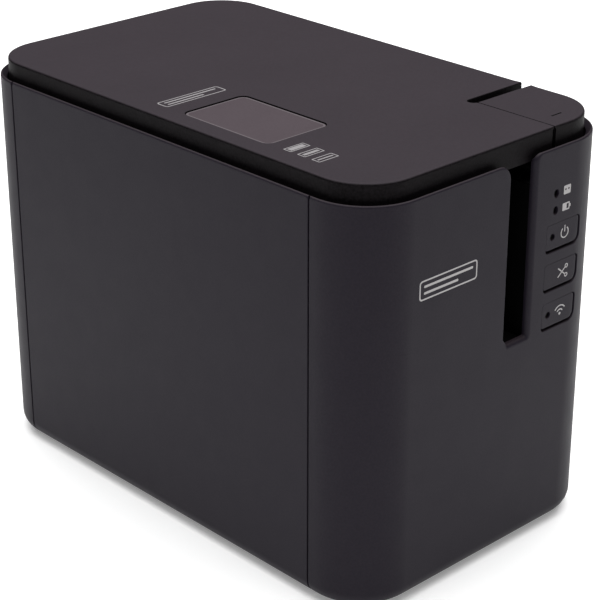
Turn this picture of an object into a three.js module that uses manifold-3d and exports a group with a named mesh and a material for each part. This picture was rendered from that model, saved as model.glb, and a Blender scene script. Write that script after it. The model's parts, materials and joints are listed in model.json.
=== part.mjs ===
// A desktop label printer for wide tape, in millimetres.
// +Z is up, the tape exit slot faces -Y, and the origin is the middle of the base on the table.
import * as THREE from "three";
import { mergeVertices } from "three/addons/utils/BufferGeometryUtils.js";
import Module from "manifold-3d";

const wasm = await Module();
wasm.setup();

// Overall size
const WIDTH = 117;
const DEPTH = 193;
const HEIGHT = 146;

// Enclosure
const SHELL_BOTTOM = 1;
const RIM = 140;
const CORNER = 21;
const WALL = 2.2;
const LIP = 1.2;
const BOTTOM_ROUND = 6;
const FRONT_SEAM = -73;
const REAR_SEAM = 76;
const SEAM = 0.3;
const GAP = 0.3;
const BASE_INSET = 9;
const BASE_LOW = 1.2;
const BASE_HIGH = 4.2;

// Top cover and cover-open button
const COVER_INSET = 3;
const COVER_SKIRT = 137;
const COVER_PLATE = 143;
const COVER_ROUND = 1;
const COVER_WALL = 2;
const BUTTON_LEFT = 28.5;
const GROOVE_REAR = -57.3;
const GROOVE_FRONT = -61.3;
const WINDOW = { x0: -48.2, x1: -21.2, y0: -44, y1: -3.1, round: 3, depth: 1 };

// Cover hinge
const HINGE_Y = 75;
const HINGE_Z = 140.2;
const HINGE_X = 42;
const EAR_RADIUS = 2.4;
const PIN_RADIUS = 1.2;

// Front face
const FRONT = -DEPTH / 2;
const SLOT = { x0: 5.2, x1: 17, z0: 77.5, leftRound: 5, rightRound: 3, chamfer: 3 };
const CHUTE = { wall: 1.5, rear: -84, high: 126.5 };
const KEY = { x0: 24.2, x1: 40.3, height: 8.8, pitch: 13.8, lowest: 77.5, round: 3 };
const KEY_GAP_WIDE = 1.1;
const LAMP_X = 28;
const LAMP_HEIGHTS = { cassette_lamp_lens: 124.3, battery_lamp_lens: 118.5 };
const LAMP_RADIUS = 1.1;

// Levels inside
const FLOOR_LOW = 70;
const FLOOR_HIGH = 73;
const DECK_LOW = 127;
const DECK_HIGH = 129.5;
const DECK_STEP = 70;
const SHELF_LOW = 115.5;
const SHELF_HIGH = 118;
const GEAR_LOW = 61;
const GEAR_HIGH = 67.5;
const PLATE_LOW = 57.5;
const PLATE_HIGH = 59;
const BOARD_LOW = 12;
const BOARD_HIGH = 13.6;

// Tape path and gear train. The tape runs towards -Y in the plane x = TAPE_X.
const TAPE_X = 11.1;
const TAPE_THICK = 0.4;
const TAPE_LOW = 85;
const TAPE_HIGH = 121;
const MODULE = 1;
const ROLLER_RADIUS = 5;
const SHAFT_RADIUS = 2;
const BORE_RADIUS = 2.3;
const PLATEN = { x: 16.6, y: -44, teeth: 14 };
const FEED = meshedAt(PLATEN, 14, -141.8);
const RIBBON = meshedAt(FEED, 28, 146.5);
const IDLER = meshedAt(PLATEN, 28, 20);
const MOTOR = meshedAt(IDLER, 12, 100);

// Print head
const HEAD_PIVOT = { x: 7, y: -34, radius: 1.5 };

// Cutter
const CUTTER = { x: 34, y: -75, teeth: 10, low: 98, high: 104 };
const BLADE_LOW = 84;
const BLADE_HIGH = 125;

// Tape cassette
const CASE_LOW = 77;
const CASE_HIGH = 127;
const CASE_LID_HIGH = 129.3;
const CASE_WALL = 1.5;
const TAPE_ROLL = { x: -18, y: -2, radius: 21.5, bore: 9.5 };
const RIBBON_SUPPLY = { x: -33, y: -40, radius: 9 };

// Fineness of round shapes
const CORNER_STEPS = 8;
const ROUND_SIDES = 16;

// ---- Shape helpers -------------------------------------------------------------------------

// A gear centre that meshes with another gear, in the direction given in degrees.
function meshedAt(gear, teeth, degrees) {
  const distance = (MODULE * (gear.teeth + teeth)) / 2;
  const angle = THREE.MathUtils.degToRad(degrees);
  return { x: gear.x + distance * Math.cos(angle), y: gear.y + distance * Math.sin(angle), teeth };
}

// The solid that a closed three.js geometry encloses.
function solidOf(geometry) {
  geometry.deleteAttribute("normal");
  geometry.deleteAttribute("uv");
  const merged = mergeVertices(geometry, 1e-4);
  const vertProperties = merged.attributes.position.array;
  const triVerts = new Uint32Array(merged.index.array);
  return new wasm.Manifold(new wasm.Mesh({ numProp: 3, vertProperties, triVerts }));
}

function join(...solids) {
  return solids.reduce((whole, piece) => whole.add(piece));
}

function cut(solid, ...tools) {
  return tools.reduce((rest, tool) => rest.subtract(tool), solid);
}

function block(x0, x1, y0, y1, z0, z1) {
  const geometry = new THREE.BoxGeometry(x1 - x0, y1 - y0, z1 - z0);
  geometry.translate((x0 + x1) / 2, (y0 + y1) / 2, (z0 + z1) / 2);
  return solidOf(geometry);
}

// A round bar along X, Y or Z. The centre is given in the two other directions, in order.
function bar(axis, a, b, radius, from, to, sides = ROUND_SIDES) {
  const geometry = new THREE.CylinderGeometry(radius, radius, to - from, sides);
  const middle = (from + to) / 2;
  if (axis === "x") {
    geometry.rotateZ(-Math.PI / 2);
    geometry.translate(middle, a, b);
  } else if (axis === "y") {
    geometry.translate(a, middle, b);
  } else {
    geometry.rotateX(Math.PI / 2);
    geometry.translate(a, b, middle);
  }
  return solidOf(geometry);
}

function roundedRect(x0, x1, y0, y1, radius) {
  const quarter = Math.PI / 2;
  const shape = new THREE.Shape();
  shape.moveTo(x0 + radius, y0);
  shape.absarc(x1 - radius, y0 + radius, radius, -quarter, 0);
  shape.absarc(x1 - radius, y1 - radius, radius, 0, quarter);
  shape.absarc(x0 + radius, y1 - radius, radius, quarter, 2 * quarter);
  shape.absarc(x0 + radius, y0 + radius, radius, 2 * quarter, 3 * quarter);
  shape.closePath();
  return shape;
}

// The enclosure's outline, drawn in by an inset.
function outline(inset) {
  const x = WIDTH / 2 - inset;
  const y = DEPTH / 2 - inset;
  return roundedRect(-x, x, -y, y, CORNER - inset);
}

function slab(shape, z0, z1, steps = CORNER_STEPS) {
  const settings = { depth: z1 - z0, bevelEnabled: false, curveSegments: steps };
  const geometry = new THREE.ExtrudeGeometry(shape, settings);
  geometry.translate(0, 0, z0);
  return solidOf(geometry);
}

// A slab whose edges are rounded at both ends.
function roundedSlab(shape, z0, z1, round, steps) {
  const geometry = new THREE.ExtrudeGeometry(shape, {
    depth: z1 - z0 - 2 * round,
    bevelEnabled: true,
    bevelThickness: round,
    bevelSize: round,
    bevelOffset: -round,
    bevelSegments: steps,
    curveSegments: CORNER_STEPS,
  });
  geometry.translate(0, 0, z0 + round);
  return solidOf(geometry);
}

// A shape drawn in X and Z, extruded along Y.
function frontSlab(shape, y0, y1, steps = CORNER_STEPS) {
  const settings = { depth: y1 - y0, bevelEnabled: false, curveSegments: steps };
  const geometry = new THREE.ExtrudeGeometry(shape, settings);
  geometry.rotateX(Math.PI / 2);
  geometry.translate(0, y1, 0);
  return solidOf(geometry);
}

// A shape drawn in Y and Z, extruded along X.
function sideSlab(shape, x0, x1) {
  const settings = { depth: x1 - x0, bevelEnabled: false, curveSegments: CORNER_STEPS };
  const geometry = new THREE.ExtrudeGeometry(shape, settings);
  geometry.rotateX(Math.PI / 2);
  geometry.rotateZ(Math.PI / 2);
  geometry.translate(x0, 0, 0);
  return solidOf(geometry);
}

function polygon(points) {
  return new THREE.Shape(points.map(([x, y]) => new THREE.Vector2(x, y)));
}

function ring(x, y, outer, inner, z0, z1, sides = ROUND_SIDES) {
  return cut(bar("z", x, y, outer, z0, z1, sides), bar("z", x, y, inner, z0 - 1, z1 + 1, sides));
}

// A coil spring on an upright axis: a round wire swept along a helix.
class Helix extends THREE.Curve {
  constructor(x, y, radius, z0, z1, turns) {
    super();
    Object.assign(this, { x, y, radius, z0, z1, turns });
  }

  getPoint(t, target = new THREE.Vector3()) {
    const angle = 2 * Math.PI * this.turns * t;
    const x = this.x + this.radius * Math.cos(angle);
    const y = this.y + this.radius * Math.sin(angle);
    return target.set(x, y, THREE.MathUtils.lerp(this.z0, this.z1, t));
  }
}

function coil(x, y, radius, wire, z0, z1, turns) {
  const section = new THREE.Shape();
  section.absarc(0, 0, wire, 0, 2 * Math.PI);
  const extrudePath = new Helix(x, y, radius, z0 + wire, z1 - wire, turns);
  return solidOf(new THREE.ExtrudeGeometry(section, { steps: 10 * turns, extrudePath, curveSegments: 3 }));
}

// ---- Gears ---------------------------------------------------------------------------------

// The angle of a gear's first tooth that puts it in mesh with a gear already placed.
function meshPhase(placed, placedPhase, gear) {
  const towards = Math.atan2(gear.y - placed.y, gear.x - placed.x);
  const share = ((towards - placedPhase) * placed.teeth) / gear.teeth;
  return towards + Math.PI + share - Math.PI / gear.teeth;
}

// Half a tooth's width at its root and at its tip, as shares of the pitch.
const TOOTH_ROOT = 0.28;
const TOOTH_TIP = 0.1;

function gearShape(gear, phase) {
  const pitchRadius = (MODULE * gear.teeth) / 2;
  const step = (2 * Math.PI) / gear.teeth;
  const tooth = [
    [pitchRadius - 1.1 * MODULE, -TOOTH_ROOT],
    [pitchRadius + 0.7 * MODULE, -TOOTH_TIP],
    [pitchRadius + 0.7 * MODULE, TOOTH_TIP],
    [pitchRadius - 1.1 * MODULE, TOOTH_ROOT],
  ];
  const points = [];
  for (let i = 0; i < gear.teeth; i += 1) {
    for (const [radius, share] of tooth) {
      const angle = phase + (i + share) * step;
      points.push([gear.x + radius * Math.cos(angle), gear.y + radius * Math.sin(angle)]);
    }
  }
  return polygon(points);
}

const idlerPhase = 0;
const motorPhase = meshPhase(IDLER, idlerPhase, MOTOR);
const platenPhase = meshPhase(IDLER, idlerPhase, PLATEN);
const feedPhase = meshPhase(PLATEN, platenPhase, FEED);
const ribbonPhase = meshPhase(FEED, feedPhase, RIBBON);

function gearOn(gear, phase, hub) {
  return join(slab(gearShape(gear, phase), GEAR_LOW, GEAR_HIGH), hub);
}

// ---- Enclosure -----------------------------------------------------------------------------

const BEYOND = 60;

// The whole outer shell before it is divided: a box with a rounded foot and a rounded rim.
function wholeShell() {
  const footed = roundedSlab(outline(0), SHELL_BOTTOM, RIM + BEYOND, BOTTOM_ROUND, 3);
  const lipped = roundedSlab(outline(0), SHELL_BOTTOM - BEYOND, RIM, LIP, 3);
  const round = BOTTOM_ROUND - WALL;
  const hollow = roundedSlab(outline(WALL), SHELL_BOTTOM + WALL, RIM + BEYOND, round, 2);
  const underneath = slab(outline(BASE_INSET), 0, BASE_HIGH);
  return cut(footed.intersect(lipped), hollow, underneath);
}

// The tape exit slot's outline, open at the top, with its mouth rounded into the rim.
function slotShape() {
  const quarter = Math.PI / 2;
  const { x0, x1, z0, leftRound, rightRound, chamfer } = SLOT;
  const shape = new THREE.Shape();
  shape.moveTo(x0 + chamfer, z0);
  shape.lineTo(x1, z0);
  shape.lineTo(x1, RIM - rightRound);
  shape.absarc(x1 + rightRound, RIM - rightRound, rightRound, 2 * quarter, quarter, true);
  shape.lineTo(x1 + rightRound, RIM + 1);
  shape.lineTo(x0 - leftRound, RIM + 1);
  shape.lineTo(x0 - leftRound, RIM);
  shape.absarc(x0 - leftRound, RIM - leftRound, leftRound, quarter, 0, true);
  shape.lineTo(x0, z0 + chamfer);
  shape.closePath();
  return shape;
}

// A key's lowest height, counted from the bottom key.
function keyBottom(index) {
  return KEY.lowest + index * KEY.pitch;
}

function keyOpening(index) {
  const low = keyBottom(index) - KEY_GAP_WIDE;
  const high = keyBottom(index) + KEY.height + GAP;
  const shape = roundedRect(KEY.x0 - GAP, KEY.x1 + KEY_GAP_WIDE, low, high, KEY.round);
  return frontSlab(shape, FRONT - 1, FRONT + WALL + 1, 4);
}

// A trough behind the slot that leads the cut tape out, open at the top.
function tapeChute() {
  const { x0, x1, z0 } = SLOT;
  const wall = CHUTE.wall;
  const outer = block(x0 - wall, x1 + wall, FRONT + WALL - 0.3, CHUTE.rear, z0 - 1 - wall, CHUTE.high);
  return cut(outer, block(x0, x1, -DEPTH, CHUTE.rear + 1, z0 - 1, HEIGHT));
}

function lampHole(z) {
  return bar("y", LAMP_X, z, LAMP_RADIUS, FRONT - 1, FRONT + 4, 16);
}

function frontShell(shell) {
  const front = shell.intersect(block(-WIDTH, WIDTH, -DEPTH, FRONT_SEAM, 0, HEIGHT));
  const lamps = Object.values(LAMP_HEIGHTS).map(lampHole);
  const slot = frontSlab(slotShape(), FRONT - 1, FRONT + WALL + 1);
  return cut(join(front, tapeChute()), slot, ...lamps, ...[0, 1, 2].map(keyOpening));
}

function sidePanel(shell, side) {
  const [x0, x1] = side < 0 ? [-WIDTH, 0] : [0, WIDTH];
  const inner = WIDTH / 2 - BASE_INSET;
  const middle = block(-inner, inner, -DEPTH, DEPTH, 0, HEIGHT);
  const panel = shell.intersect(block(x0, x1, FRONT_SEAM + SEAM, REAR_SEAM - SEAM, 0, HEIGHT));
  return cut(panel, middle);
}

// Sockets in the rear face: each port's middle in X, and the size of its opening.
const PORT_MIDDLE = 19.4;
const PORTS = {
  power_inlet: { x: 28.5, width: 9, height: 11 },
  usb_port: { x: 8, width: 12, height: 11 },
  serial_port: { x: -14, width: 13, height: 12 },
};

function portOpening(port, width, height) {
  const z = PORT_MIDDLE;
  const shape = roundedRect(port.x - width / 2, port.x + width / 2, z - height / 2, z + height / 2, 0.8);
  return frontSlab(shape, DEPTH / 2 - WALL - 1, DEPTH / 2 + 1, 2);
}

function rearShell(shell) {
  const rear = shell.intersect(block(-WIDTH, WIDTH, REAR_SEAM, DEPTH, 0, HEIGHT));
  const inlet = bar("y", PORTS.power_inlet.x, PORT_MIDDLE, 4, DEPTH / 2 - 4, DEPTH / 2 + 1);
  const usb = portOpening(PORTS.usb_port, 10, 9);
  const serial = portOpening(PORTS.serial_port, 10.6, 7.8);
  return cut(rear, inlet, usb, serial);
}

const FOOT = { x: 40, y: 74, radius: 7 };
const LEG = { x: 42, y: 56, radius: 4.5, pilot: 1.5 };
const BATTERY_COVER = { x: 18, y0: 20, y1: 44, round: 2 };

// Calls make(x, y, name) for the four corners at plus or minus x and y.
function corners(place, make) {
  return [
    make(-place.x, -place.y, "front_left"),
    make(place.x, -place.y, "front_right"),
    make(-place.x, place.y, "rear_left"),
    make(place.x, place.y, "rear_right"),
  ];
}

function batteryShape(inset) {
  const { x, y0, y1, round } = BATTERY_COVER;
  return roundedRect(-x + inset, x - inset, y0 + inset, y1 - inset, round);
}

function basePlate() {
  const plate = slab(outline(BASE_INSET + GAP), BASE_LOW, BASE_HIGH);
  const boss = (x, y) => bar("z", x, y, 2.5, BASE_LOW, BOARD_LOW - GAP, 12);
  const bosses = [boss(-32, -45), boss(32, -45), boss(-32, 84), boss(32, 84)];
  const recesses = corners(FOOT, (x, y) => bar("z", x, y, FOOT.radius + GAP, 0, BASE_LOW + 1.1));
  const screwHeads = corners(LEG, (x, y) => bar("z", x, y, 3.2, 0, BASE_LOW + 1.8, 12));
  const screwHoles = corners(LEG, (x, y) => bar("z", x, y, 1.8, 0, BASE_HIGH + 1, 12));
  const battery = slab(batteryShape(0), 0, 3.5);
  const socket = slab(batteryShape(2), 0, BASE_HIGH + 1);
  return cut(join(plate, ...bosses), ...recesses, ...screwHeads, ...screwHoles, battery, socket);
}

function foot(x, y) {
  return bar("z", x, y, FOOT.radius, 0, BASE_LOW + 0.8);
}

function baseScrew(x, y) {
  const head = bar("z", x, y, 2.8, BASE_LOW + 0.3, BASE_LOW + 1.5, 12);
  const shank = bar("z", x, y, 1.2, BASE_LOW + 1, 14, 8);
  const drive = block(x - 1.6, x + 1.6, y - 0.3, y + 0.3, 0, BASE_LOW + 0.9);
  return cut(join(head, shank), drive);
}

function batteryCover() {
  const plate = slab(batteryShape(GAP), BASE_LOW, 3.2);
  const grip = block(-5, 5, 22, 23, 0, BASE_LOW + 0.6);
  return cut(plate, grip);
}

// ---- Top cover -----------------------------------------------------------------------------

function coverBody(z0) {
  const body = roundedSlab(outline(COVER_INSET), COVER_SKIRT - BEYOND, HEIGHT, COVER_ROUND, 4);
  return body.intersect(block(-WIDTH, WIDTH, -DEPTH, DEPTH, z0, HEIGHT + 1));
}

function windowShape(inset) {
  const { x0, x1, y0, y1, round } = WINDOW;
  return roundedRect(x0 + inset, x1 - inset, y0 + inset, y1 - inset, round - inset);
}

// A boss that hangs from the cover's plate around the hinge axis, on one side of an ear.
function hingeBoss(x0, x1) {
  const web = block(x0, x1, HINGE_Y - EAR_RADIUS, HINGE_Y + EAR_RADIUS, HINGE_Z, COVER_PLATE + 0.5);
  const eye = bar("x", HINGE_Y, HINGE_Z, EAR_RADIUS, x0, x1);
  const bore = bar("x", HINGE_Y, HINGE_Z, PIN_RADIUS + GAP, x0 - 1, x1 + 1);
  return cut(join(web, eye), bore);
}

const CATCH = { x0: 22.5, x1: 25.5, y0: -69, y1: -64, low: 126.5 };
const LATCH_GAP = 0.5;
const HOOK_TOP = 131.5;

function coverCatch() {
  const stem = block(CATCH.x0, CATCH.x1, CATCH.y0, CATCH.y1, CATCH.low, COVER_PLATE + 0.5);
  const nose = [[CATCH.x1 - 0.5, CATCH.low], [CATCH.x1 + 1, CATCH.low], [CATCH.x1 + 2.5, CATCH.low + 1.5]];
  const top = [[CATCH.x1 + 2.5, CATCH.low + 2.2], [CATCH.x1 - 0.5, CATCH.low + 2.2]];
  return join(stem, frontSlab(polygon([...nose, ...top]), CATCH.y0, CATCH.y1));
}

function topCover() {
  const body = coverBody(COVER_SKIRT);
  const inner = slab(outline(COVER_INSET + COVER_WALL), 0, COVER_PLATE);
  const kept = block(BUTTON_LEFT - COVER_WALL, WIDTH, -DEPTH, GROOVE_REAR + COVER_WALL, 0, HEIGHT);
  const corner = block(BUTTON_LEFT, WIDTH, -DEPTH, GROOVE_REAR, 0, HEIGHT + 1);
  const recess = slab(windowShape(0), HEIGHT - 2, HEIGHT + 1, 4);
  const opening = slab(windowShape(1.5), 0, HEIGHT, 4);
  const bosses = [];
  const notches = [];
  for (const x of [-HINGE_X, HINGE_X]) {
    bosses.push(hingeBoss(x - 4.8, x - 1.7), hingeBoss(x + 1.7, x + 4.8));
    notches.push(block(x - 1.9, x + 1.9, HINGE_Y + 5, DEPTH, 0, HINGE_Z));
  }
  const shell = cut(body, cut(inner, kept), corner, recess, opening, ...notches);
  return join(shell, ...bosses, coverCatch());
}

function coverWindow() {
  return slab(windowShape(GAP), HEIGHT - WINDOW.depth - 0.7, HEIGHT - WINDOW.depth, 4);
}

function hingePin(x) {
  return bar("x", HINGE_Y, HINGE_Z, PIN_RADIUS, x - 4.5, x + 4.5, 16);
}

// ---- Cover-open button and its latch -------------------------------------------------------

const BUTTON_SKIRT = 135.5;
const STEM = { x: 44, y: -68, half: 2 };
const SPRING = { x: 42, y: -80, radius: 2.6, wire: 0.4 };
const LATCH = { x: 34, z: 122, y0: -71, y1: -63, arm: 10 };

function coverOpenButton() {
  const right = block(BUTTON_LEFT + 0.4, WIDTH, -DEPTH, GROOVE_FRONT, 0, HEIGHT + 1);
  const body = coverBody(BUTTON_SKIRT).intersect(right);
  const x0 = BUTTON_LEFT + 0.4 + COVER_WALL;
  const room = block(x0, WIDTH, -DEPTH, GROOVE_FRONT - COVER_WALL, 0, COVER_PLATE);
  const hollow = slab(outline(COVER_INSET + COVER_WALL), 0, COVER_PLATE).intersect(room);
  const { x, y, half } = STEM;
  const stem = block(x - half, x + half, y - half, y + half, LATCH.z + 2.5, COVER_PLATE + 0.5);
  return join(cut(body, hollow), stem);
}

function buttonSpring() {
  return coil(SPRING.x, SPRING.y, SPRING.radius, SPRING.wire, DECK_HIGH + GAP, COVER_PLATE - GAP, 5);
}

// A bell crank: the button's stem presses the arm down, and the hook swings clear of the catch.
function latchLever() {
  const { x, z, y0, y1, arm } = LATCH;
  const hub = bar("y", x, z, 3, y0, y1);
  const armBar = block(x, x + arm + 2, y0, y1, z - 1, z + 2);
  const hookBar = block(x - 2, x + 1, y0, y1, z, HOOK_TOP);
  const noseLow = CATCH.low + 2.2 + LATCH_GAP;
  const nose = block(CATCH.x1 + 2.5 + LATCH_GAP, x, y0, y1, noseLow, HOOK_TOP);
  const bore = bar("y", x, z, 1.5, y0 - 1, y1 + 1);
  return cut(join(hub, armBar, hookBar, nose), bore);
}

// ---- Keys and lamps ------------------------------------------------------------------------

const KEY_FLANGE = { y0: FRONT + WALL + 0.4, y1: FRONT + WALL + 2 };
const KEY_BACK = FRONT + 5.5;
const KEY_PAD = { y0: FRONT + 6.4, y1: FRONT + 7.4 };
const KEY_BOARD = { y0: FRONT + 7.7, y1: FRONT + 9.2 };

function key(index, hasLamp) {
  const z = keyBottom(index);
  const middle = (KEY.x0 + KEY.x1) / 2;
  const face = roundedRect(KEY.x0, KEY.x1, z, z + KEY.height, KEY.round - 0.5);
  const cap = frontSlab(face, FRONT - 1, KEY_FLANGE.y0 + 0.5, 4).intersect(slab(outline(0), 0, HEIGHT));
  const plate = block(KEY.x0 - 1.5, KEY.x1 + 2, FRONT, KEY_FLANGE.y1, z - 1.5, z + KEY.height + 1);
  const flange = plate.intersect(slab(outline(WALL + 0.4), 0, HEIGHT));
  const plunger = bar("y", middle + 3, z + KEY.height / 2, 2, KEY_FLANGE.y1 - 0.2, KEY_BACK);
  const whole = join(cap, flange, plunger);
  return hasLamp ? cut(whole, bar("y", KEY.x0 + 3, z + KEY.height / 2, 1, FRONT - 1, KEY_BACK, 12)) : whole;
}

function keyLens(index) {
  return bar("y", KEY.x0 + 3, keyBottom(index) + KEY.height / 2, 0.7, FRONT + 0.1, KEY_BACK - 0.5, 12);
}

function lampLens(z) {
  const tip = bar("y", LAMP_X, z, LAMP_RADIUS - GAP, FRONT + 0.2, FRONT + 5, 12);
  const flange = bar("y", LAMP_X, z, 2.1, FRONT + WALL + 0.4, FRONT + 5, 12);
  return join(tip, flange);
}

function keyPad() {
  return frontSlab(roundedRect(23, 42, 74, 116, 2), KEY_PAD.y0, KEY_PAD.y1, 3);
}

function keyBoard() {
  return block(20, 45, KEY_BOARD.y0, KEY_BOARD.y1, 74, 126.5);
}

// A flat cable from the key board, down past the chassis floor, to the main board's front edge.
function keyCable() {
  const near = KEY_BOARD.y1 + GAP;
  const low = BOARD_HIGH + GAP;
  const thick = 0.5;
  const bend = near + 10;
  const outer = [[near, 82], [near, 24], [bend, low], [-42, low]];
  const upper = [[-42, low + thick], [bend + thick / 2, low + thick]];
  const inner = [[near + thick, 24 + thick / 2], [near + thick, 82]];
  return sideSlab(polygon([...outer, ...upper, ...inner]), 25, 35);
}

// ---- Chassis and deck ----------------------------------------------------------------------

const POST = { x: 50, y: 62, radius: 3 };

function chassis() {
  const floor = slab(outline(COVER_INSET), FLOOR_LOW, FLOOR_HIGH);
  const legs = corners(LEG, (x, y) => bar("z", x, y, LEG.radius, BASE_HIGH + GAP, FLOOR_LOW + 1));
  const posts = corners(POST, (x, y) => bar("z", x, y, POST.radius, FLOOR_HIGH - 1, DECK_LOW - GAP));
  const rearWall = block(-46, 26, 27, 29, FLOOR_HIGH - 1, DECK_LOW - GAP);
  const leftWall = block(-50, -48, -56, 29, FLOOR_HIGH - 1, DECK_LOW - GAP);
  const headPin = bar("z", HEAD_PIVOT.x, HEAD_PIVOT.y, HEAD_PIVOT.radius, FLOOR_LOW, 92);
  const wallCorner = block(-50, -46, 27, 29, 72, 120);
  const whole = join(floor, ...legs, ...posts, rearWall, leftWall, wallCorner, headPin);
  const pilots = corners(LEG, (x, y) => bar("z", x, y, LEG.pilot, 0, 16, 12));
  const shaftHole = (gear) => bar("z", gear.x, gear.y, 2.7, FLOOR_LOW - 1, FLOOR_HIGH + 1);
  const shafts = [PLATEN, FEED, RIBBON].map(shaftHole);
  const cableGate = block(24, 36, FRONT + 8.5, FRONT + 12, FLOOR_LOW - 1, FLOOR_HIGH + 1);
  return cut(whole, ...pilots, ...shafts, cableGate);
}

// An ear that carries a hinge pin, rising from the deck's rear shelf.
function hingeEar(x) {
  const stem = block(x - 1.3, x + 1.3, HINGE_Y - EAR_RADIUS, HINGE_Y + EAR_RADIUS, SHELF_LOW, HINGE_Z);
  const eye = bar("x", HINGE_Y, HINGE_Z, EAR_RADIUS, x - 1.3, x + 1.3);
  const foot = block(x - 1.3, x + 1.3, HINGE_Y - 4, HINGE_Y + 6, SHELF_LOW, SHELF_HIGH + 1.2);
  const bore = bar("x", HINGE_Y, HINGE_Z, PIN_RADIUS + GAP, x - 3, x + 3);
  return cut(join(stem, eye, foot), bore);
}

// The deck seen when the cover is open. It steps down behind so the cover can swing into the space.
function innerDeck() {
  const inset = COVER_INSET;
  const frontRoom = block(-WIDTH, WIDTH, -DEPTH, DECK_STEP, 0, HEIGHT);
  const front = slab(outline(inset), DECK_LOW, DECK_HIGH).intersect(frontRoom);
  const shelfRoom = block(-WIDTH, WIDTH, DECK_STEP - 2, DEPTH, 0, HEIGHT);
  const shelf = slab(outline(inset), SHELF_LOW, SHELF_HIGH).intersect(shelfRoom);
  const step = block(-54, 54, DECK_STEP - 2, DECK_STEP, SHELF_LOW, DECK_HIGH);
  const well = block(-47.5, 26, -60.5, 25.5, 0, HEIGHT);
  const channel = block(4, 18, -DEPTH, -60, 0, HEIGHT);
  const latchHole = block(21, STEM.x + 5, LATCH.y0 - 1.5, LATCH.y1 + 1.5, 0, HEIGHT);
  const { x, z, y0, y1 } = LATCH;
  const hanger = (a, b) => block(x - 2.4, x + 2.4, a, b, z - 3, DECK_HIGH);
  const hangers = join(hanger(y0 - 2.5, y0 - 0.5), hanger(y1 + 0.5, y1 + 2.5));
  const axle = bar("y", x, z, 1.2, y0 - 2, y1 + 2, 16);
  const deck = cut(join(front, step, shelf), well, channel, latchHole);
  return join(deck, hangers, axle, hingeEar(-HINGE_X), hingeEar(HINGE_X));
}

function gearPlate() {
  const plate = block(-30, 54, -64, -4, PLATE_LOW, PLATE_HIGH);
  const spots = [[-26, -60], [50, -60], [50, -8], [-26, -8]];
  const standoffs = spots.map(([x, y]) => bar("z", x, y, 2.5, PLATE_LOW, FLOOR_LOW - GAP));
  const pin = bar("z", IDLER.x, IDLER.y, SHAFT_RADIUS, PLATE_LOW, FLOOR_LOW - GAP);
  const motorHole = bar("z", MOTOR.x, MOTOR.y, 4, PLATE_LOW - 1, PLATE_HIGH + 1);
  const legHoles = corners(LEG, (x, y) => bar("z", x, y, LEG.radius + GAP, PLATE_LOW - 1, PLATE_HIGH + 1));
  const bearing = (gear) => bar("z", gear.x, gear.y, 2.4, PLATE_LOW - 1, PLATE_HIGH + 1);
  const bearings = [PLATEN, FEED, RIBBON].map(bearing);
  return cut(join(plate, ...standoffs, pin), motorHole, ...legHoles, ...bearings);
}

// ---- Drive and rollers ---------------------------------------------------------------------

function idlerGear() {
  const gear = gearOn(IDLER, idlerPhase, bar("z", IDLER.x, IDLER.y, 4, PLATE_HIGH + GAP, GEAR_HIGH + 1));
  return cut(gear, bar("z", IDLER.x, IDLER.y, BORE_RADIUS, PLATE_LOW, FLOOR_LOW));
}

function driveMotor() {
  const can = bar("z", MOTOR.x, MOTOR.y, 12, 22, PLATE_LOW - GAP, 28);
  const boss = bar("z", MOTOR.x, MOTOR.y, 3.5, 50, PLATE_HIGH + 0.5);
  const bore = bar("z", MOTOR.x, MOTOR.y, 1.4, 52, PLATE_HIGH + 2);
  return cut(join(can, boss), bore);
}

function motorPinion() {
  return gearOn(MOTOR, motorPhase, bar("z", MOTOR.x, MOTOR.y, 1, 54, GEAR_HIGH + 1));
}

function platenShaft() {
  const shaft = bar("z", PLATEN.x, PLATEN.y, SHAFT_RADIUS, PLATE_LOW, DECK_HIGH - 0.5);
  return gearOn(PLATEN, platenPhase, shaft);
}

function platenRoller() {
  return ring(PLATEN.x, PLATEN.y, ROLLER_RADIUS, BORE_RADIUS, 81, 124, 28);
}

// A bracket with two arms that carries the platen shaft, open towards the tape.
function rollerHolder() {
  const lowArm = block(12.6, 26, -52, -38, FLOOR_HIGH + GAP, 76.5);
  const highArm = block(12.6, 26, -52, -38, 125.5, 128);
  const back = block(23.5, 26, -52, -38, FLOOR_HIGH + GAP, 128);
  const bore = bar("z", PLATEN.x, PLATEN.y, SHAFT_RADIUS + GAP, FLOOR_LOW, HEIGHT);
  return cut(join(lowArm, highArm, back), bore);
}

function feedGear() {
  return gearOn(FEED, feedPhase, bar("z", FEED.x, FEED.y, SHAFT_RADIUS, PLATE_LOW, 124));
}

function feedRoller() {
  return ring(FEED.x, FEED.y, ROLLER_RADIUS, BORE_RADIUS, 81, 123, 28);
}

function ribbonGear() {
  return gearOn(RIBBON, ribbonPhase, bar("z", RIBBON.x, RIBBON.y, SHAFT_RADIUS, PLATE_LOW, 118));
}

// ---- Print head ----------------------------------------------------------------------------

const HEAD = { x0: 2.5, x1: 9, y0: -47.1, y1: -40.9, low: 77.4, high: 125 };

function headArm() {
  const { x, y } = HEAD_PIVOT;
  const arm = block(1.5, 9.5, HEAD.y0, y, 74, HEAD.low + 1);
  const hub = bar("z", x, y, 3.2, 74, 90);
  const bore = bar("z", x, y, HEAD_PIVOT.radius + GAP, FLOOR_LOW, HEIGHT);
  const sink = block(5.5, HEAD.x1, HEAD.y0, HEAD.y1, HEAD.low, HEAD.high);
  const fins = [0, 1, 2].map((i) => {
    const y0 = HEAD.y0 + i * 2.5;
    return block(HEAD.x0, 6, y0, y0 + 1.2, HEAD.low, HEAD.high);
  });
  return cut(join(arm, hub, sink, ...fins), bore);
}

function thermalHead() {
  return block(HEAD.x1 + GAP, 10.5, HEAD.y0 + 0.2, HEAD.y1 - 0.2, 82, 124);
}

// ---- Cutter --------------------------------------------------------------------------------

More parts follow.
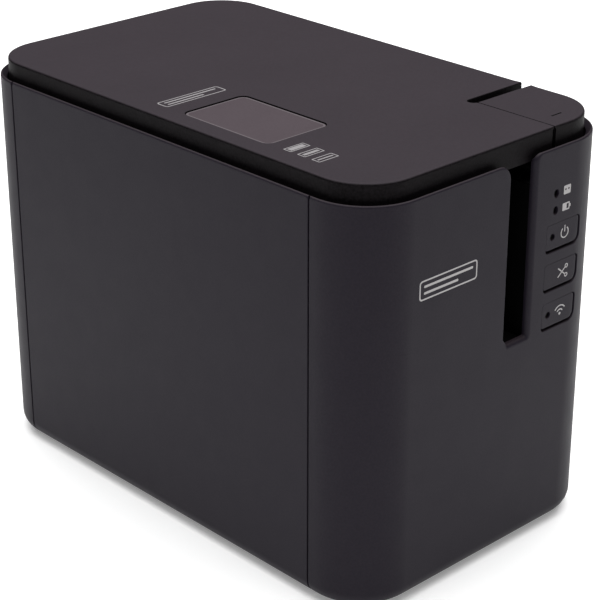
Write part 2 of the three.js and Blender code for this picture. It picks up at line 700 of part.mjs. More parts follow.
const RACK_PITCH_Y = CUTTER.y - (CUTTER.teeth * MODULE) / 2;
const CARRIAGE = { x0: 19, x1: 25.5, y0: -83, y1: -77 };

function cutterFixedBlade() {
  const plate = block(3, 9.6, -79.6, -78.6, BLADE_LOW - 2, BLADE_HIGH);
  const holder = block(1, 6, -78.6, -72, FLOOR_HIGH + GAP, BLADE_HIGH);
  return join(plate, holder);
}

function cutterMovingBlade() {
  const edge = [[12.9, BLADE_HIGH], [18.7, BLADE_HIGH], [18.7, BLADE_LOW], [15, BLADE_LOW]];
  const blade = frontSlab(polygon(edge), -81, -80);
  return blade;
}

// The carriage holds the blade, and its rack teeth face the pinion.
function cutterCarriage() {
  const body = block(CARRIAGE.x0, CARRIAGE.x1, CARRIAGE.y0, CARRIAGE.y1, BLADE_LOW, BLADE_HIGH);
  const rootY = RACK_PITCH_Y - 1.1 * MODULE;
  const rack = block(CARRIAGE.x1 - 1, 44, rootY - 2, rootY, CUTTER.low, CUTTER.high);
  const pitch = Math.PI * MODULE;
  const teeth = [-2, -1, 0, 1, 2].map((i) => {
    const x = CUTTER.x + (i + 0.5) * pitch;
    const low = [[x - TOOTH_ROOT * pitch, rootY - 0.1], [x + TOOTH_ROOT * pitch, rootY - 0.1]];
    const high = [[x + TOOTH_TIP * pitch, RACK_PITCH_Y + 0.7], [x - TOOTH_TIP * pitch, RACK_PITCH_Y + 0.7]];
    return slab(polygon([...low, ...high]), CUTTER.low, CUTTER.high);
  });
  return join(body, rack, ...teeth);
}

function cutterPinion() {
  const gear = slab(gearShape(CUTTER, -Math.PI / 2), CUTTER.low, CUTTER.high);
  return join(gear, bar("z", CUTTER.x, CUTTER.y, 1.2, 94, CUTTER.high + 1, 16));
}

function cutterMotor() {
  const can = bar("z", CUTTER.x, CUTTER.y, 6, FLOOR_HIGH + GAP, 96, 24);
  const shaftHole = bar("z", CUTTER.x, CUTTER.y, 1.6, 93, 97, 16);
  return cut(can, shaftHole);
}

// ---- Tape cassette -------------------------------------------------------------------------

// The cassette's outline has a notch for the print head and the feed roller.
function cassetteShape(inset) {
  const [x0, x1, y0, y1] = [-46 + inset, 8 - inset, -58 + inset, 24 - inset];
  const notchX = -3.5 - inset;
  const notchY = -30 + inset;
  return polygon([[x0, y0], [notchX, y0], [notchX, notchY], [x1, notchY], [x1, y1], [x0, y1]]);
}

function cassetteCase() {
  const outer = slab(cassetteShape(0), CASE_LOW, CASE_HIGH);
  const inner = slab(cassetteShape(CASE_WALL), CASE_LOW + CASE_WALL, CASE_HIGH + 1);
  const driveHole = bar("z", RIBBON.x, RIBBON.y, 3.2, 0, CASE_LOW + 5);
  const guide = cut(block(7.5, 14, -27, -21, CASE_LOW, 124), block(10.4, 11.8, -28, -20, 82, 125));
  const tapeHub = bar("z", TAPE_ROLL.x, TAPE_ROLL.y, TAPE_ROLL.bore - GAP, CASE_LOW, 110, 24);
  const ribbonHub = bar("z", RIBBON_SUPPLY.x, RIBBON_SUPPLY.y, SHAFT_RADIUS, CASE_LOW, 120);
  return join(cut(outer, inner, driveHole), guide, tapeHub, ribbonHub);
}

function cassetteLid() {
  return slab(cassetteShape(0), CASE_HIGH + GAP, CASE_LID_HIGH);
}

function tapeRoll() {
  return ring(TAPE_ROLL.x, TAPE_ROLL.y, TAPE_ROLL.radius, TAPE_ROLL.bore, TAPE_LOW, TAPE_HIGH, 36);
}

function ribbonTakeUp() {
  return ring(RIBBON.x, RIBBON.y, 6, BORE_RADIUS, 80, 125);
}

function ribbonSupply() {
  return ring(RIBBON_SUPPLY.x, RIBBON_SUPPLY.y, RIBBON_SUPPLY.radius, BORE_RADIUS, 80, 125);
}

function labelTape() {
  const half = TAPE_THICK / 2;
  return block(TAPE_X - half, TAPE_X + half, -72, -22, TAPE_LOW, TAPE_HIGH);
}

// ---- Electronics ---------------------------------------------------------------------------

function mainBoard() {
  const board = block(-36, 36, -50, 90, BOARD_LOW, BOARD_HIGH);
  const spots = [[-16, 6, 12], [12, -14, 9], [-20, -30, 7], [14, 34, 8]];
  const top = BOARD_HIGH + 1.4;
  const chip = ([x, y, half]) => block(x - half, x + half, y - half, y + half, BOARD_LOW + 1, top);
  return join(board, ...spots.map(chip));
}

function portBody(port) {
  const half = port.width / 2;
  const high = BOARD_HIGH + GAP + port.height;
  return block(port.x - half, port.x + half, 79, DEPTH / 2 - WALL - 0.4, BOARD_HIGH + GAP, high);
}

function powerInlet() {
  const port = PORTS.power_inlet;
  const hole = bar("y", port.x, PORT_MIDDLE, 3.2, 84, DEPTH);
  const pin = bar("y", port.x, PORT_MIDDLE, 1, 83, DEPTH / 2 - WALL - 1, 12);
  return join(cut(portBody(port), hole), pin);
}

function usbPort() {
  const port = PORTS.usb_port;
  const z = PORT_MIDDLE;
  const mouth = block(port.x - 4.2, port.x + 4.2, 84, DEPTH, z - 3.9, z + 3.9);
  const tongue = block(port.x - 2.8, port.x + 2.8, 83, DEPTH / 2 - WALL - 1.5, z - 1.6, z + 1.6);
  return join(cut(portBody(port), mouth), tongue);
}

function serialPort() {
  const port = PORTS.serial_port;
  const z = PORT_MIDDLE;
  const mouth = block(port.x - 4.9, port.x + 4.9, 82, DEPTH, z - 3.4, z + 3.4);
  const clip = block(port.x - 1.8, port.x + 1.8, 83, DEPTH, z - 5, z + 1);
  return cut(portBody(port), mouth, clip);
}

// ---- Materials -----------------------------------------------------------------------------

function material(color, roughness, metalness = 0) {
  return () => new THREE.MeshStandardMaterial({ color, roughness, metalness, flatShading: true });
}

const shellPlastic = material(0x3d3a3d, 0.6);
const coverPlastic = material(0x464144, 0.55);
const innerPlastic = material(0x262527, 0.7);
const whitePlastic = material(0xd9d6cf, 0.55);
const gearPlastic = material(0xe6e2d6, 0.5);
const smokedPlastic = material(0x5f575c, 0.25);
const lensPlastic = material(0x1b1d1c, 0.2);
const rubber = material(0x1c1c1c, 0.9);
const steel = material(0xb4b6b8, 0.35, 1);
const aluminium = material(0xc2c5c8, 0.4, 1);
const ceramic = material(0xe9e5dc, 0.4);
const circuitBoard = material(0x1f5a3a, 0.6);
const blackInk = material(0x111111, 0.4);
const paper = material(0xf2f0ea, 0.8);
const copperFilm = material(0xb8864a, 0.5);

// ---- Assembly ------------------------------------------------------------------------------

function mesh(name, solid, makeMaterial) {
  const { vertProperties, triVerts } = solid.getMesh();
  const geometry = new THREE.BufferGeometry();
  geometry.setAttribute("position", new THREE.BufferAttribute(vertProperties, 3));
  geometry.setIndex(new THREE.BufferAttribute(triVerts, 1));
  const made = new THREE.Mesh(geometry, makeMaterial());
  made.name = name;
  return made;
}

function group(...children) {
  const made = new THREE.Group();
  made.add(...children);
  return made;
}

const shell = wholeShell();

const enclosure = group(
  mesh("front_shell", frontShell(shell), shellPlastic),
  mesh("left_side_panel", sidePanel(shell, -1), shellPlastic),
  mesh("right_side_panel", sidePanel(shell, 1), shellPlastic),
  mesh("rear_shell", rearShell(shell), shellPlastic),
  mesh("base_plate", basePlate(), innerPlastic),
  mesh("battery_connector_cover", batteryCover(), innerPlastic),
  ...corners(FOOT, (x, y, name) => mesh("foot_" + name, foot(x, y), rubber)),
  ...corners(LEG, (x, y, name) => mesh("base_screw_" + name, baseScrew(x, y), steel)),
);

const cover = group(
  mesh("top_cover", topCover(), coverPlastic),
  mesh("cover_window", coverWindow(), smokedPlastic),
  mesh("hinge_pin_left", hingePin(-HINGE_X), steel),
  mesh("hinge_pin_right", hingePin(HINGE_X), steel),
);

const release = group(
  mesh("cover_open_button", coverOpenButton(), coverPlastic),
  mesh("button_spring", buttonSpring(), steel),
  mesh("latch_lever", latchLever(), innerPlastic),
);

const keys = group(
  mesh("wireless_key", key(0, true), shellPlastic),
  mesh("feed_cut_key", key(1, false), shellPlastic),
  mesh("power_key", key(2, true), shellPlastic),
  mesh("wireless_lamp_lens", keyLens(0), lensPlastic),
  mesh("power_lamp_lens", keyLens(2), lensPlastic),
  ...Object.entries(LAMP_HEIGHTS).map(([name, z]) => mesh(name, lampLens(z), lensPlastic)),
  mesh("key_pad", keyPad(), rubber),
  mesh("key_board", keyBoard(), circuitBoard),
  mesh("key_cable", keyCable(), copperFilm),
);

const frame = group(
  mesh("chassis", chassis(), innerPlastic),
  mesh("inner_deck", innerDeck(), innerPlastic),
  mesh("gear_plate", gearPlate(), steel),
  mesh("roller_holder", rollerHolder(), whitePlastic),
);

const drive = group(
  mesh("drive_motor", driveMotor(), steel),
  mesh("motor_pinion", motorPinion(), gearPlastic),
  mesh("idler_gear", idlerGear(), gearPlastic),
  mesh("platen_shaft", platenShaft(), gearPlastic),
  mesh("platen_roller", platenRoller(), rubber),
  mesh("feed_gear", feedGear(), gearPlastic),
  mesh("feed_roller", feedRoller(), rubber),
  mesh("ribbon_gear", ribbonGear(), gearPlastic),
);

const printing = group(
  mesh("head_arm", headArm(), aluminium),
  mesh("thermal_head", thermalHead(), ceramic),
  mesh("cutter_fixed_blade", cutterFixedBlade(), steel),
  mesh("cutter_moving_blade", cutterMovingBlade(), steel),
  mesh("cutter_carriage", cutterCarriage(), whitePlastic),
  mesh("cutter_pinion", cutterPinion(), gearPlastic),
  mesh("cutter_motor", cutterMotor(), steel),
);

const cassette = group(
  mesh("cassette_case", cassetteCase(), whitePlastic),
  mesh("cassette_lid", cassetteLid(), whitePlastic),
  mesh("tape_roll", tapeRoll(), paper),
  mesh("ribbon_take_up_spool", ribbonTakeUp(), blackInk),
  mesh("ribbon_supply_spool", ribbonSupply(), blackInk),
  mesh("label_tape", labelTape(), paper),
);

const electronics = group(
  mesh("main_board", mainBoard(), circuitBoard),
  mesh("power_inlet", powerInlet(), blackInk),
  mesh("usb_port", usbPort(), steel),
  mesh("serial_port", serialPort(), blackInk),
);

export default group(enclosure, cover, release, keys, frame, drive, printing, cassette, electronics);
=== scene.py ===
import json
import math

import bpy
import numpy as np
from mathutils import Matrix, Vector
from mathutils.geometry import delaunay_2d_cdt


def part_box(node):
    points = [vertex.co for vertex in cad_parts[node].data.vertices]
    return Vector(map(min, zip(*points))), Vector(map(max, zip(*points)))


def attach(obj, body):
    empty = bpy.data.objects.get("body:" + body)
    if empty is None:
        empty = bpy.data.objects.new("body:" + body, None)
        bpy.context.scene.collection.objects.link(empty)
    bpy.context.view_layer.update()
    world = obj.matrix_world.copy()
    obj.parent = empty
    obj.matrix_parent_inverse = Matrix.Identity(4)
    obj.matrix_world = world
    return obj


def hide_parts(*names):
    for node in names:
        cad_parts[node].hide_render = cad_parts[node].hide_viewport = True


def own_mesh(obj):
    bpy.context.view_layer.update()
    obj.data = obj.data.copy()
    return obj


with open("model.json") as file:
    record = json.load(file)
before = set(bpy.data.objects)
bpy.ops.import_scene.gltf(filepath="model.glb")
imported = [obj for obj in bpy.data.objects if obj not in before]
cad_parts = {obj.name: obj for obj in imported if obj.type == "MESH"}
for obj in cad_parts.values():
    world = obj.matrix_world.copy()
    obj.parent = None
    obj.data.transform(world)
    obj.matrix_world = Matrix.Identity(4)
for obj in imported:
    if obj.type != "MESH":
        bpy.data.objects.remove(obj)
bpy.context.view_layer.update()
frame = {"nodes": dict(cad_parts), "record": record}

MM = 0.001


# ---- Sizes taken from the frame ---------------------------

def box_mm(node):
    low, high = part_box(node)
    return low / MM, high / MM


FRONT_LOW, FRONT_HIGH = box_mm("front_shell")
REAR_LOW, REAR_HIGH = box_mm("rear_shell")
SIDE_LOW, SIDE_HIGH = box_mm("right_side_panel")
COVER_HIGH = box_mm("top_cover")[1]
BUTTON_LOW, BUTTON_HIGH = box_mm("cover_open_button")
PANE_LOW, PANE_HIGH = box_mm("cover_window")

HALF_WIDTH = FRONT_HIGH.x
HALF_DEPTH = REAR_HIGH.y
SHELL_LOW = FRONT_LOW.z
RIM = FRONT_HIGH.z
COVER_TOP = COVER_HIGH.z


# ---- Sizes of the moulded shapes --------------------------

# Walls, rim and foot
CORNER = 21
WALL = 2.2
FOOT_ROUND = 6
FOOT_LEDGE = 3
LIP_ROUND = 0.7
LIP_SLOPE, LIP_REACH = 1.5, 3.0
SEAM_ROUND = 0.2
SEAM_MORE = 0.25
CORNER_STEPS = 16
FOOT_STEPS = 8

# Tape slot and the trough behind it
SLOT_LEFT, SLOT_RIGHT, SLOT_LOW = 5.2, 17.0, 77.5
SLOT_LEFT_ROUND, SLOT_RIGHT_ROUND = 5.0, 3.0
SLOT_CHAMFER = 2.6
SLOT_CORNER = 0.6
SLOT_SOFT, SLOT_SILL, SLOT_CRISP = 1.8, 1.6, 0.35
CHUTE_WALL, CHUTE_TOP, CHUTE_REAR = 0.9, 129.4, -84

# Keys and lamps
KEY_LEFT, KEY_RIGHT, KEY_HEIGHT = 24.2, 40.3, 8.8
KEY_LOWS = {"wireless_key": 77.5, "feed_cut_key": 91.3, "power_key": 105.1}
KEY_GAP, KEY_GAP_WIDE = 0.06, 0.95
KEY_FINE = 0.03
KEY_THICK = 4.4
KEY_LAMP = 1.15
LAMP_WIDE, LAMP_HIGH = 1.15, 1.45
LENS_GAP, LENS_THICK = 0.1, 3.0

# How far outer faces stay inside the frame's, and the thickness of the prints on them
PRINT_ROOM = 0.03
PRINT_THICK = 0.02

# Cover, its hinge notches and eyes, and the gap beside the button
COVER_SKIRT = 137.0
COVER_WALL = 2.0
COVER_THICK = 3.0
COVER_ROUND = 0.9
COVER_PLATE = COVER_TOP - COVER_THICK
BUTTON_SEAM = 28.5
BUTTON_SKIRT = 135.5
GROOVE_REAR, GROOVE_FRONT = -57.3, -61.3

HINGE_X, HINGE_Y, HINGE_Z = 42.0, 75.0, 140.2
HINGE_EYE = 2.4
HINGE_BORE = 1.5
NOTCH_HALF, NOTCH_STEP = 2.4, 0.02
BOSS_WIDE = 3.1
BOSS_NEAR, BOSS_FAR = 1.7, 4.8
BOSS_SOFT = 0.2
INTO_PLATE = 0.2
GAP_STEP, GAP_DEPTH = 0.6, 1.1
GAP_FINE = 0.12

# Catch and ribs under the cover
CATCH_LEFT, CATCH_RIGHT, CATCH_LOW = 22.5, 25.5, 126.5
CATCH_FRONT, CATCH_DEEP = -69.0, 5.0
CATCH_NOSE, CATCH_HIGH = 2.5, 2.2
RIB_LOW, RIB_HALF = 140.6, 0.6
CROSS_RIBS = (8.0, 30.0, 52.0)
LONG_RIBS = (-30.0, 0.0, 30.0)
RIB_SIDE, RIB_FAR = 53, -68

# Window
PANE_GAP, PANE_CORNER, PANE_LEDGE = 0.3, 3, 1.5
PANE_TOP = COVER_TOP - 0.45
PANE_LESS = 0.25
# Insets of the lighter ring on the pane: partly its own border tone, partly a painted highlight
# along its edge.
BORDER_OUT, BORDER_IN = 0.4, 1.1

# Button's post and spring
STEM_X, STEM_Y, STEM_HALF, STEM_LOW = 44.0, -68.0, 2.0, 124.5
SPRING_X, SPRING_Y, SPRING_LOW, SPRING_HIGH = 42.0, -80.0, 129.8, 142.7
SPRING_RADIUS, SPRING_WIRE, SPRING_TURNS = 2.6, 0.4, 5

# Sockets and feet
PORT_LEVEL = 19.4
USB_WIDE, USB_HIGH = 10, 9
SERIAL_WIDE, SERIAL_HIGH = 10.6, 7.8
POWER_HOLE = 4
CONTACT_PITCH, CONTACTS = 1.02, 8
FOOT_RADIUS, FOOT_RIM, FOOT_CENTRE = 7.0, 4.6, 4.5
FOOT_THICK, FOOT_RECESS = 2.0, 0.5

# Lengths along the unrolled walls
FLAT = HALF_WIDTH - CORNER
ARC = CORNER * math.pi / 2
FOOT_TOP = SHELL_LOW + FOOT_ROUND
FOOT_ARC = FOOT_ROUND * math.pi / 2
WALL_LOW = FOOT_TOP - FOOT_ARC - FOOT_LEDGE


# ---- Outlines ---------------------------------------------
# An outline is a closed list of (a, b, round): a point and the radius of its rounded edge.
# Travelling along it, the material is on the left.

def tag(points, radius, last=None):
    """Adds the edge radius to each point, changing evenly to the last value if one is given."""
    last = radius if last is None else last
    steps = max(len(points) - 1, 1)
    return [(a, b, radius + (last - radius) * i / steps) for i, (a, b) in enumerate(points)]


def arc_at(a, b, radius, angles):
    """Points on an arc at the given angles, in degrees."""
    turns = [math.radians(t) for t in angles]
    return [(a + radius * math.cos(t), b + radius * math.sin(t)) for t in turns]


def arc(a, b, radius, start, end, steps):
    """Evenly spaced points on an arc from one angle to another, in degrees."""
    return arc_at(a, b, radius, [start + (end - start) * i / steps for i in range(steps + 1)])


def rounded(a0, a1, b0, b1, radius, edge=0.0, steps=6):
    """A rounded rectangle, with the material inside."""
    quarters = (
        (a1 - radius, b0 + radius, -90),
        (a1 - radius, b1 - radius, 0),
        (a0 + radius, b1 - radius, 90),
        (a0 + radius, b0 + radius, 180),
    )
    points = [p for a, b, start in quarters for p in arc(a, b, radius, start, start + 90, steps)]
    return tag(points, edge)


def circle(a, b, radius, edge=0.0, steps=24):
    return tag(arc(a, b, radius, 0, 360, steps)[:-1], edge)


def ellipse(a, b, wide, high, edge=0.0, steps=24):
    return tag([(a + wide * x, b + high * y) for x, y in arc(0, 0, 1, 0, 360, steps)[:-1]], edge)


def stroke(points, width):
    """The outline of a line of even width drawn through the points."""
    right, left = [], []
    for i, (a, b) in enumerate(points):
        before, after = points[max(i - 1, 0)], points[min(i + 1, len(points) - 1)]
        along = Vector((after[0] - before[0], after[1] - before[1])).normalized() * width / 2
        right.append((a + along.y, b - along.x))
        left.append((a - along.y, b + along.x))
    return tag(right + left[::-1], 0.0)


def hole(outline):
    """The same outline with the material outside."""
    return outline[::-1]


def without_repeats(outline):
    kept = []
    for point in outline:
        if not kept or math.dist(point[:2], kept[-1][:2]) > 1e-4:
            kept.append(point)
    if math.dist(kept[0][:2], kept[-1][:2]) < 1e-4:
        kept.pop()
    return kept


def offset(outline, distances):
    """The outline's points moved into the material, each by its own distance."""
    moved = []
    for i, (a, b, _) in enumerate(outline):
        before, after = outline[i - 1], outline[(i + 1) % len(outline)]
        first = Vector((before[1] - b, a - before[0])).normalized()
        second = Vector((b - after[1], after[0] - a)).normalized()
        mitre = (first + second) / max(1 + first.dot(second), 0.2)
        moved.append((a + mitre.x * distances[i], b + mitre.y * distances[i]))
    return moved


# ---- Solids -----------------------------------------------

class Solid:
    """A closed surface built from rings. A point is (a, b, depth), with depth into the material."""

    def __init__(self, place):
        self.place = place
        self.points = []
        self.faces = []

    def ring(self, points, depths):
        first = len(self.points)
        self.points += [(a, b, d) for (a, b), d in zip(points, depths)]
        return list(range(first, len(self.points)))

    def strip(self, high, low):
        for i in range(len(high)):
            j = (i + 1) % len(high)
            self.faces.append((low[i], low[j], high[j], high[i]))

    def edge(self, outline, depth=0.0, steps=5):
        """A rounded edge from the face at depth down to the side wall. Returns both end rings."""
        rings = []
        for k in range(steps + 1):
            angle = math.pi / 2 * k / steps
            inward = [r * (1 - math.sin(angle)) for _, _, r in outline]
            depths = [depth + r * (1 - math.cos(angle)) for _, _, r in outline]
            rings.append(self.ring(offset(outline, inward), depths))
        for high, low in zip(rings, rings[1:]):
            self.strip(high, low)
        return rings[0], rings[-1]

    def wall(self, high, depth):
        """A straight wall from a ring to a new ring, at one depth or at a depth for each point."""
        depths = depth if isinstance(depth, list) else [depth] * len(high)
        low = self.ring([self.points[i][:2] for i in high], depths)
        self.strip(high, low)
        return low

    def cap(self, rings, depth, guides=(), turned=False):
        """A flat face between rings. Guides are lines that the face's triangles follow."""
        known = [i for ring in rings for i in ring]
        spots = [Vector(self.points[i][:2]) for i in known]
        lines = []
        first = 0
        for ring in rings:
            n = len(ring)
            lines += [(first + i, first + (i + 1) % n) for i in range(n)]
            first += n
        sides = np.array([[*spots[i], *spots[j]] for i, j in lines])
        for start, end in guides:
            spots += [Vector(start), Vector(end)]
            lines.append((len(spots) - 2, len(spots) - 1))
        verts, _, tris, origins, _, _ = delaunay_2d_cdt(spots, lines, [], 0, 1e-4, True)
        middles = np.array([[sum(verts[i][k] for i in t) / 3 for k in (0, 1)] for t in tris])
        x, y = middles[:, :1], middles[:, 1:]
        x0, y0, x1, y1 = sides.T
        crosses = (y0 > y) != (y1 > y)
        rise = np.where(y1 == y0, 1, y1 - y0)
        inside = (crosses & (x < x0 + (y - y0) * (x1 - x0) / rise)).sum(axis=1) % 2 == 1
        index = {}
        for t, keep in zip(tris, inside):
            if not keep:
                continue
            for i in t:
                if i not in index:
                    old = [o for o in origins[i] if o < len(known)]
                    index[i] = known[old[0]] if old else len(self.points)
                    if not old:
                        self.points.append((verts[i].x, verts[i].y, depth))
            face = tuple(index[i] for i in t)
            self.faces.append(face[::-1] if turned else face)

    def surface(self):
        """The points in metres, and the faces."""
        return [tuple(c * MM for c in self.place(*p)) for p in self.points], self.faces


def sloped(outline):
    """A wall's outline at its back, where the rim falls away inwards."""
    start = RIM - LIP_REACH
    shares = [min(max((b - start) / LIP_REACH, 0), 1) for _, b, _ in outline]
    return [(a, b - LIP_SLOPE * share) for (a, b, _), share in zip(outline, shares)]


def plate(place, outline, thick, holes=(), guides=(), back=0.0, steps=5, behind=None):
    """A plate with rounded front edges. Its back edges may be rounded too, or its back outline
    given."""
    solid = Solid(place)
    fronts, backs = [], []
    for chain in [outline, *holes]:
        high, low = solid.edge(chain, steps=steps)
        fronts.append(high)
        if back:
            base = solid.wall(low, thick - back)
            part = back * 0.3
            inner = solid.ring(offset(chain, [part] * len(chain)), [thick - part] * len(chain))
            last = solid.ring(offset(chain, [back] * len(chain)), [thick] * len(chain))
            solid.strip(base, inner)
            solid.strip(inner, last)
            backs.append(last)
        elif behind and chain is outline:
            last = solid.ring(behind, [thick] * len(behind))
            solid.strip(low, last)
            backs.append(last)
        else:
            backs.append(solid.wall(low, thick))
    solid.cap(fronts, 0.0, guides)
    solid.cap(backs, thick, guides, turned=True)
    return solid


def bar(place, a0, a1, b0, b1, thick, edge=0.25):
    """A rectangular bar with softened edges."""
    return plate(place, rounded(a0, a1, b0, b1, edge, edge, 2), thick, back=edge, steps=2)


def prints(place, *shapes):
    """Flat printed shapes just proud of a surface. A shape is an outline followed by its holes."""
    solid = Solid(place)
    for shape in shapes:
        tops = [solid.ring([p[:2] for p in chain], [-PRINT_THICK] * len(chain)) for chain in shape]
        for top in tops:
            solid.wall(top, PRINT_THICK)
        solid.cap(tops, -PRINT_THICK)
    return solid


# ---- Placings ---------------------------------------------

def front_path(u):
    """Point and outward normal at a distance u along the front wall, measured from its middle."""
    side = math.copysign(1, u)
    run = abs(u) - FLAT
    if run <= 0:
        return u, -HALF_DEPTH, 0, -1
    angle = min(run / CORNER, math.pi / 2)
    beyond = max(run - ARC, 0)
    x = FLAT + CORNER * math.sin(angle)
    y = -HALF_DEPTH + CORNER - CORNER * math.cos(angle) + beyond
    return side * x, y, side * math.sin(angle), -math.cos(angle)


def rear_path(u):
    x, y, nx, ny = front_path(u)
    return -x, -y, -nx, -ny


def left_path(u):
    return -HALF_WIDTH, -u, -1, 0


def right_path(u):
    return HALF_WIDTH, u, 1, 0


def wrapped(path):
    """Places (distance along the wall, height, depth) on a wall that turns under at its foot."""
    def place(u, v, depth):
        depth += PRINT_ROOM
        x, y, nx, ny = path(u)
        below = max(FOOT_TOP - v, 0)
        angle = min(below, FOOT_ARC) / FOOT_ROUND
        under = max(below - FOOT_ARC, 0)
        inward = FOOT_ROUND * (1 - math.cos(angle)) + under + depth * math.cos(angle)
        height = max(v, FOOT_TOP) - FOOT_ROUND * math.sin(angle) + depth * math.sin(angle)
        return x - nx * inward, y - ny * inward, height
    return place


def sunk(place, by):
    """The same placing, further into the material."""
    return lambda a, b, depth: place(a, b, depth + by)


def facing_up(top):
    return lambda a, b, depth: (a, b, top - depth)


def facing_down(low):
    return lambda a, b, depth: (a, -b, low + depth)


def facing_front(y):
    return lambda a, b, depth: (a, y + depth, b)


def facing_right(x):
    return lambda a, b, depth: (x - depth, a, b)


def facing_rear(y):
    return lambda a, b, depth: (-a, y - depth, b)


FRONT_WALL = wrapped(front_path)
REAR_WALL = wrapped(rear_path)
COVER_FACE = facing_up(COVER_TOP - PRINT_ROOM)


# ---- Pieces -----------------------------------------------

SMOOTH_UNDER = math.radians(38)


def smooth(obj):
    """Smooth shading with sharp edges kept, and flat faces that stay flat."""
    obj.data.polygons.foreach_set("use_smooth", [True] * len(obj.data.polygons))
    obj.data.set_sharp_from_angle(angle=SMOOTH_UNDER)
    weighted = obj.modifiers.new("flat_faces", "WEIGHTED_NORMAL")
    weighted.keep_sharp = True
    return obj


def piece(name, solids, material, body, replaced=()):
    """Makes a mesh object from one or more solids and fastens it to a body."""
    points, faces = [], []
    for solid in solids if isinstance(solids, list) else [solids]:
        more_points, more_faces = solid.surface()
        faces += [tuple(i + len(points) for i in face) for face in more_faces]
        points += more_points
    mesh = bpy.data.meshes.new(name)
    mesh.from_pydata(points, [], faces)
    mesh.materials.append(material)
    obj = bpy.data.objects.new(name, mesh)
    bpy.context.scene.collection.objects.link(obj)
    smooth(obj)
    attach(obj, body)
    if replaced:
        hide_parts(*replaced)
    return obj


# ---- Materials --------------------------------------------

def tree(name):
    made = bpy.data.materials.new(name)
    made.use_nodes = True
    nodes = made.node_tree.nodes
    return made, nodes, made.node_tree.links, nodes["Principled BSDF"]


def noise(nodes, links, scale, detail=3.0, rough=0.5):
    place = nodes.new("ShaderNodeTexCoord")
    made = nodes.new("ShaderNodeTexNoise")
    made.inputs["Scale"].default_value = scale
    made.inputs["Detail"].default_value = detail
    made.inputs["Roughness"].default_value = rough
    links.new(place.outputs["Object"], made.inputs["Vector"])
    return made.outputs["Fac"]


def ranged(nodes, links, value, low, high):
    """Maps a noise value onto a range."""
    made = nodes.new("ShaderNodeMapRange")
    made.inputs["From Min"].default_value = 0.3
    made.inputs["From Max"].default_value = 0.7
    made.inputs["To Min"].default_value = low
    made.inputs["To Max"].default_value = high
    links.new(value, made.inputs["Value"])
    return made.outputs["Result"]


def mixed(nodes, links, factor, first, second):
    """Mixes two colours. A colour is a tuple or a socket."""
    made = nodes.new("ShaderNodeMix")
    made.data_type = "RGBA"
    links.new(factor, made.inputs["Factor"])
    for socket, colour in ((made.inputs["A"], first), (made.inputs["B"], second)):
        if isinstance(colour, tuple):
            socket.default_value = (*colour, 1)
        else:
            links.new(colour, socket)
    return made.outputs["Result"]


def tinted(colour, factor):
    return tuple(c * factor for c in colour)


def bumped(nodes, links, shader, height, strength, distance):
    bump = nodes.new("ShaderNodeBump")
    bump.inputs["Strength"].default_value = strength
    bump.inputs["Distance"].default_value = distance
    links.new(height, bump.inputs["Height"])
    links.new(bump.outputs["Normal"], shader.inputs["Normal"])


def upright_shade_mask(nodes, links):
    """1 on level faces and 0 on upright ones: the mask that puts painted shade on upright faces."""
    place = nodes.new("ShaderNodeTexCoord")
    split = nodes.new("ShaderNodeSeparateXYZ")
    links.new(place.outputs["Normal"], split.inputs["Vector"])
    level = nodes.new("ShaderNodeMapRange")
    level.inputs["From Min"].default_value = 0.5
    level.inputs["From Max"].default_value = 0.9
    links.new(split.outputs["Z"], level.inputs["Value"])
    return level.outputs["Result"]


def moulded(name, colour, roughness, grain=0.35, specular=0.5, painted_upright_shade=None, spread=0.03):
    """Moulded plastic: fine spark texture, faint flow clouding, and uneven polish.
    Upright faces may be given a darker colour: painted shade for the light they get less of."""
    made, nodes, links, shader = tree(name)
    cloud = ranged(nodes, links, noise(nodes, links, 35.0), 0.0, 1.0)
    broad = mixed(nodes, links, cloud, tinted(colour, 1 - spread), tinted(colour, 1 + spread))
    # painted shade: upright faces take the darker colour, level faces keep the lit one
    if painted_upright_shade:
        broad = mixed(nodes, links, upright_shade_mask(nodes, links), painted_upright_shade, broad)
    speck = ranged(nodes, links, noise(nodes, links, 1400.0, 2.0), 0.0, 0.12)
    links.new(mixed(nodes, links, speck, broad, tinted(colour, 2.0)), shader.inputs["Base Color"])
    polish = ranged(nodes, links, noise(nodes, links, 160.0), roughness - 0.02, roughness + 0.02)
    links.new(polish, shader.inputs["Roughness"])
    bumped(nodes, links, shader, noise(nodes, links, 2600.0, 2.0), grain, 0.00006)
    shader.inputs["Specular IOR Level"].default_value = specular
    return made


def metal(name, colour, roughness, stretch=(1.0, 1.0, 30.0)):
    """Bright metal with fine drawn lines."""
    made, nodes, links, shader = tree(name)
    place = nodes.new("ShaderNodeTexCoord")
    along = nodes.new("ShaderNodeMapping")
    along.inputs["Scale"].default_value = stretch
    links.new(place.outputs["Object"], along.inputs["Vector"])
    lines = nodes.new("ShaderNodeTexNoise")
    lines.inputs["Scale"].default_value = 220.0
    links.new(along.outputs["Vector"], lines.inputs["Vector"])
    value = lines.outputs["Fac"]
    share = ranged(nodes, links, value, 0.0, 1.0)
    links.new(mixed(nodes, links, share, tinted(colour, 0.85), colour), shader.inputs["Base Color"])
    polish = ranged(nodes, links, value, roughness - 0.07, roughness + 0.1)
    links.new(polish, shader.inputs["Roughness"])
    bumped(nodes, links, shader, value, 0.15, 0.00003)
    shader.inputs["Metallic"].default_value = 1.0
    return made


def shifted(nodes, links, shift):
    """Object coordinates moved by a shift in metres."""
    place = nodes.new("ShaderNodeTexCoord")
    made = nodes.new("ShaderNodeMapping")
    made.inputs["Location"].default_value = shift
    links.new(place.outputs["Object"], made.inputs["Vector"])
    return made.outputs["Vector"]


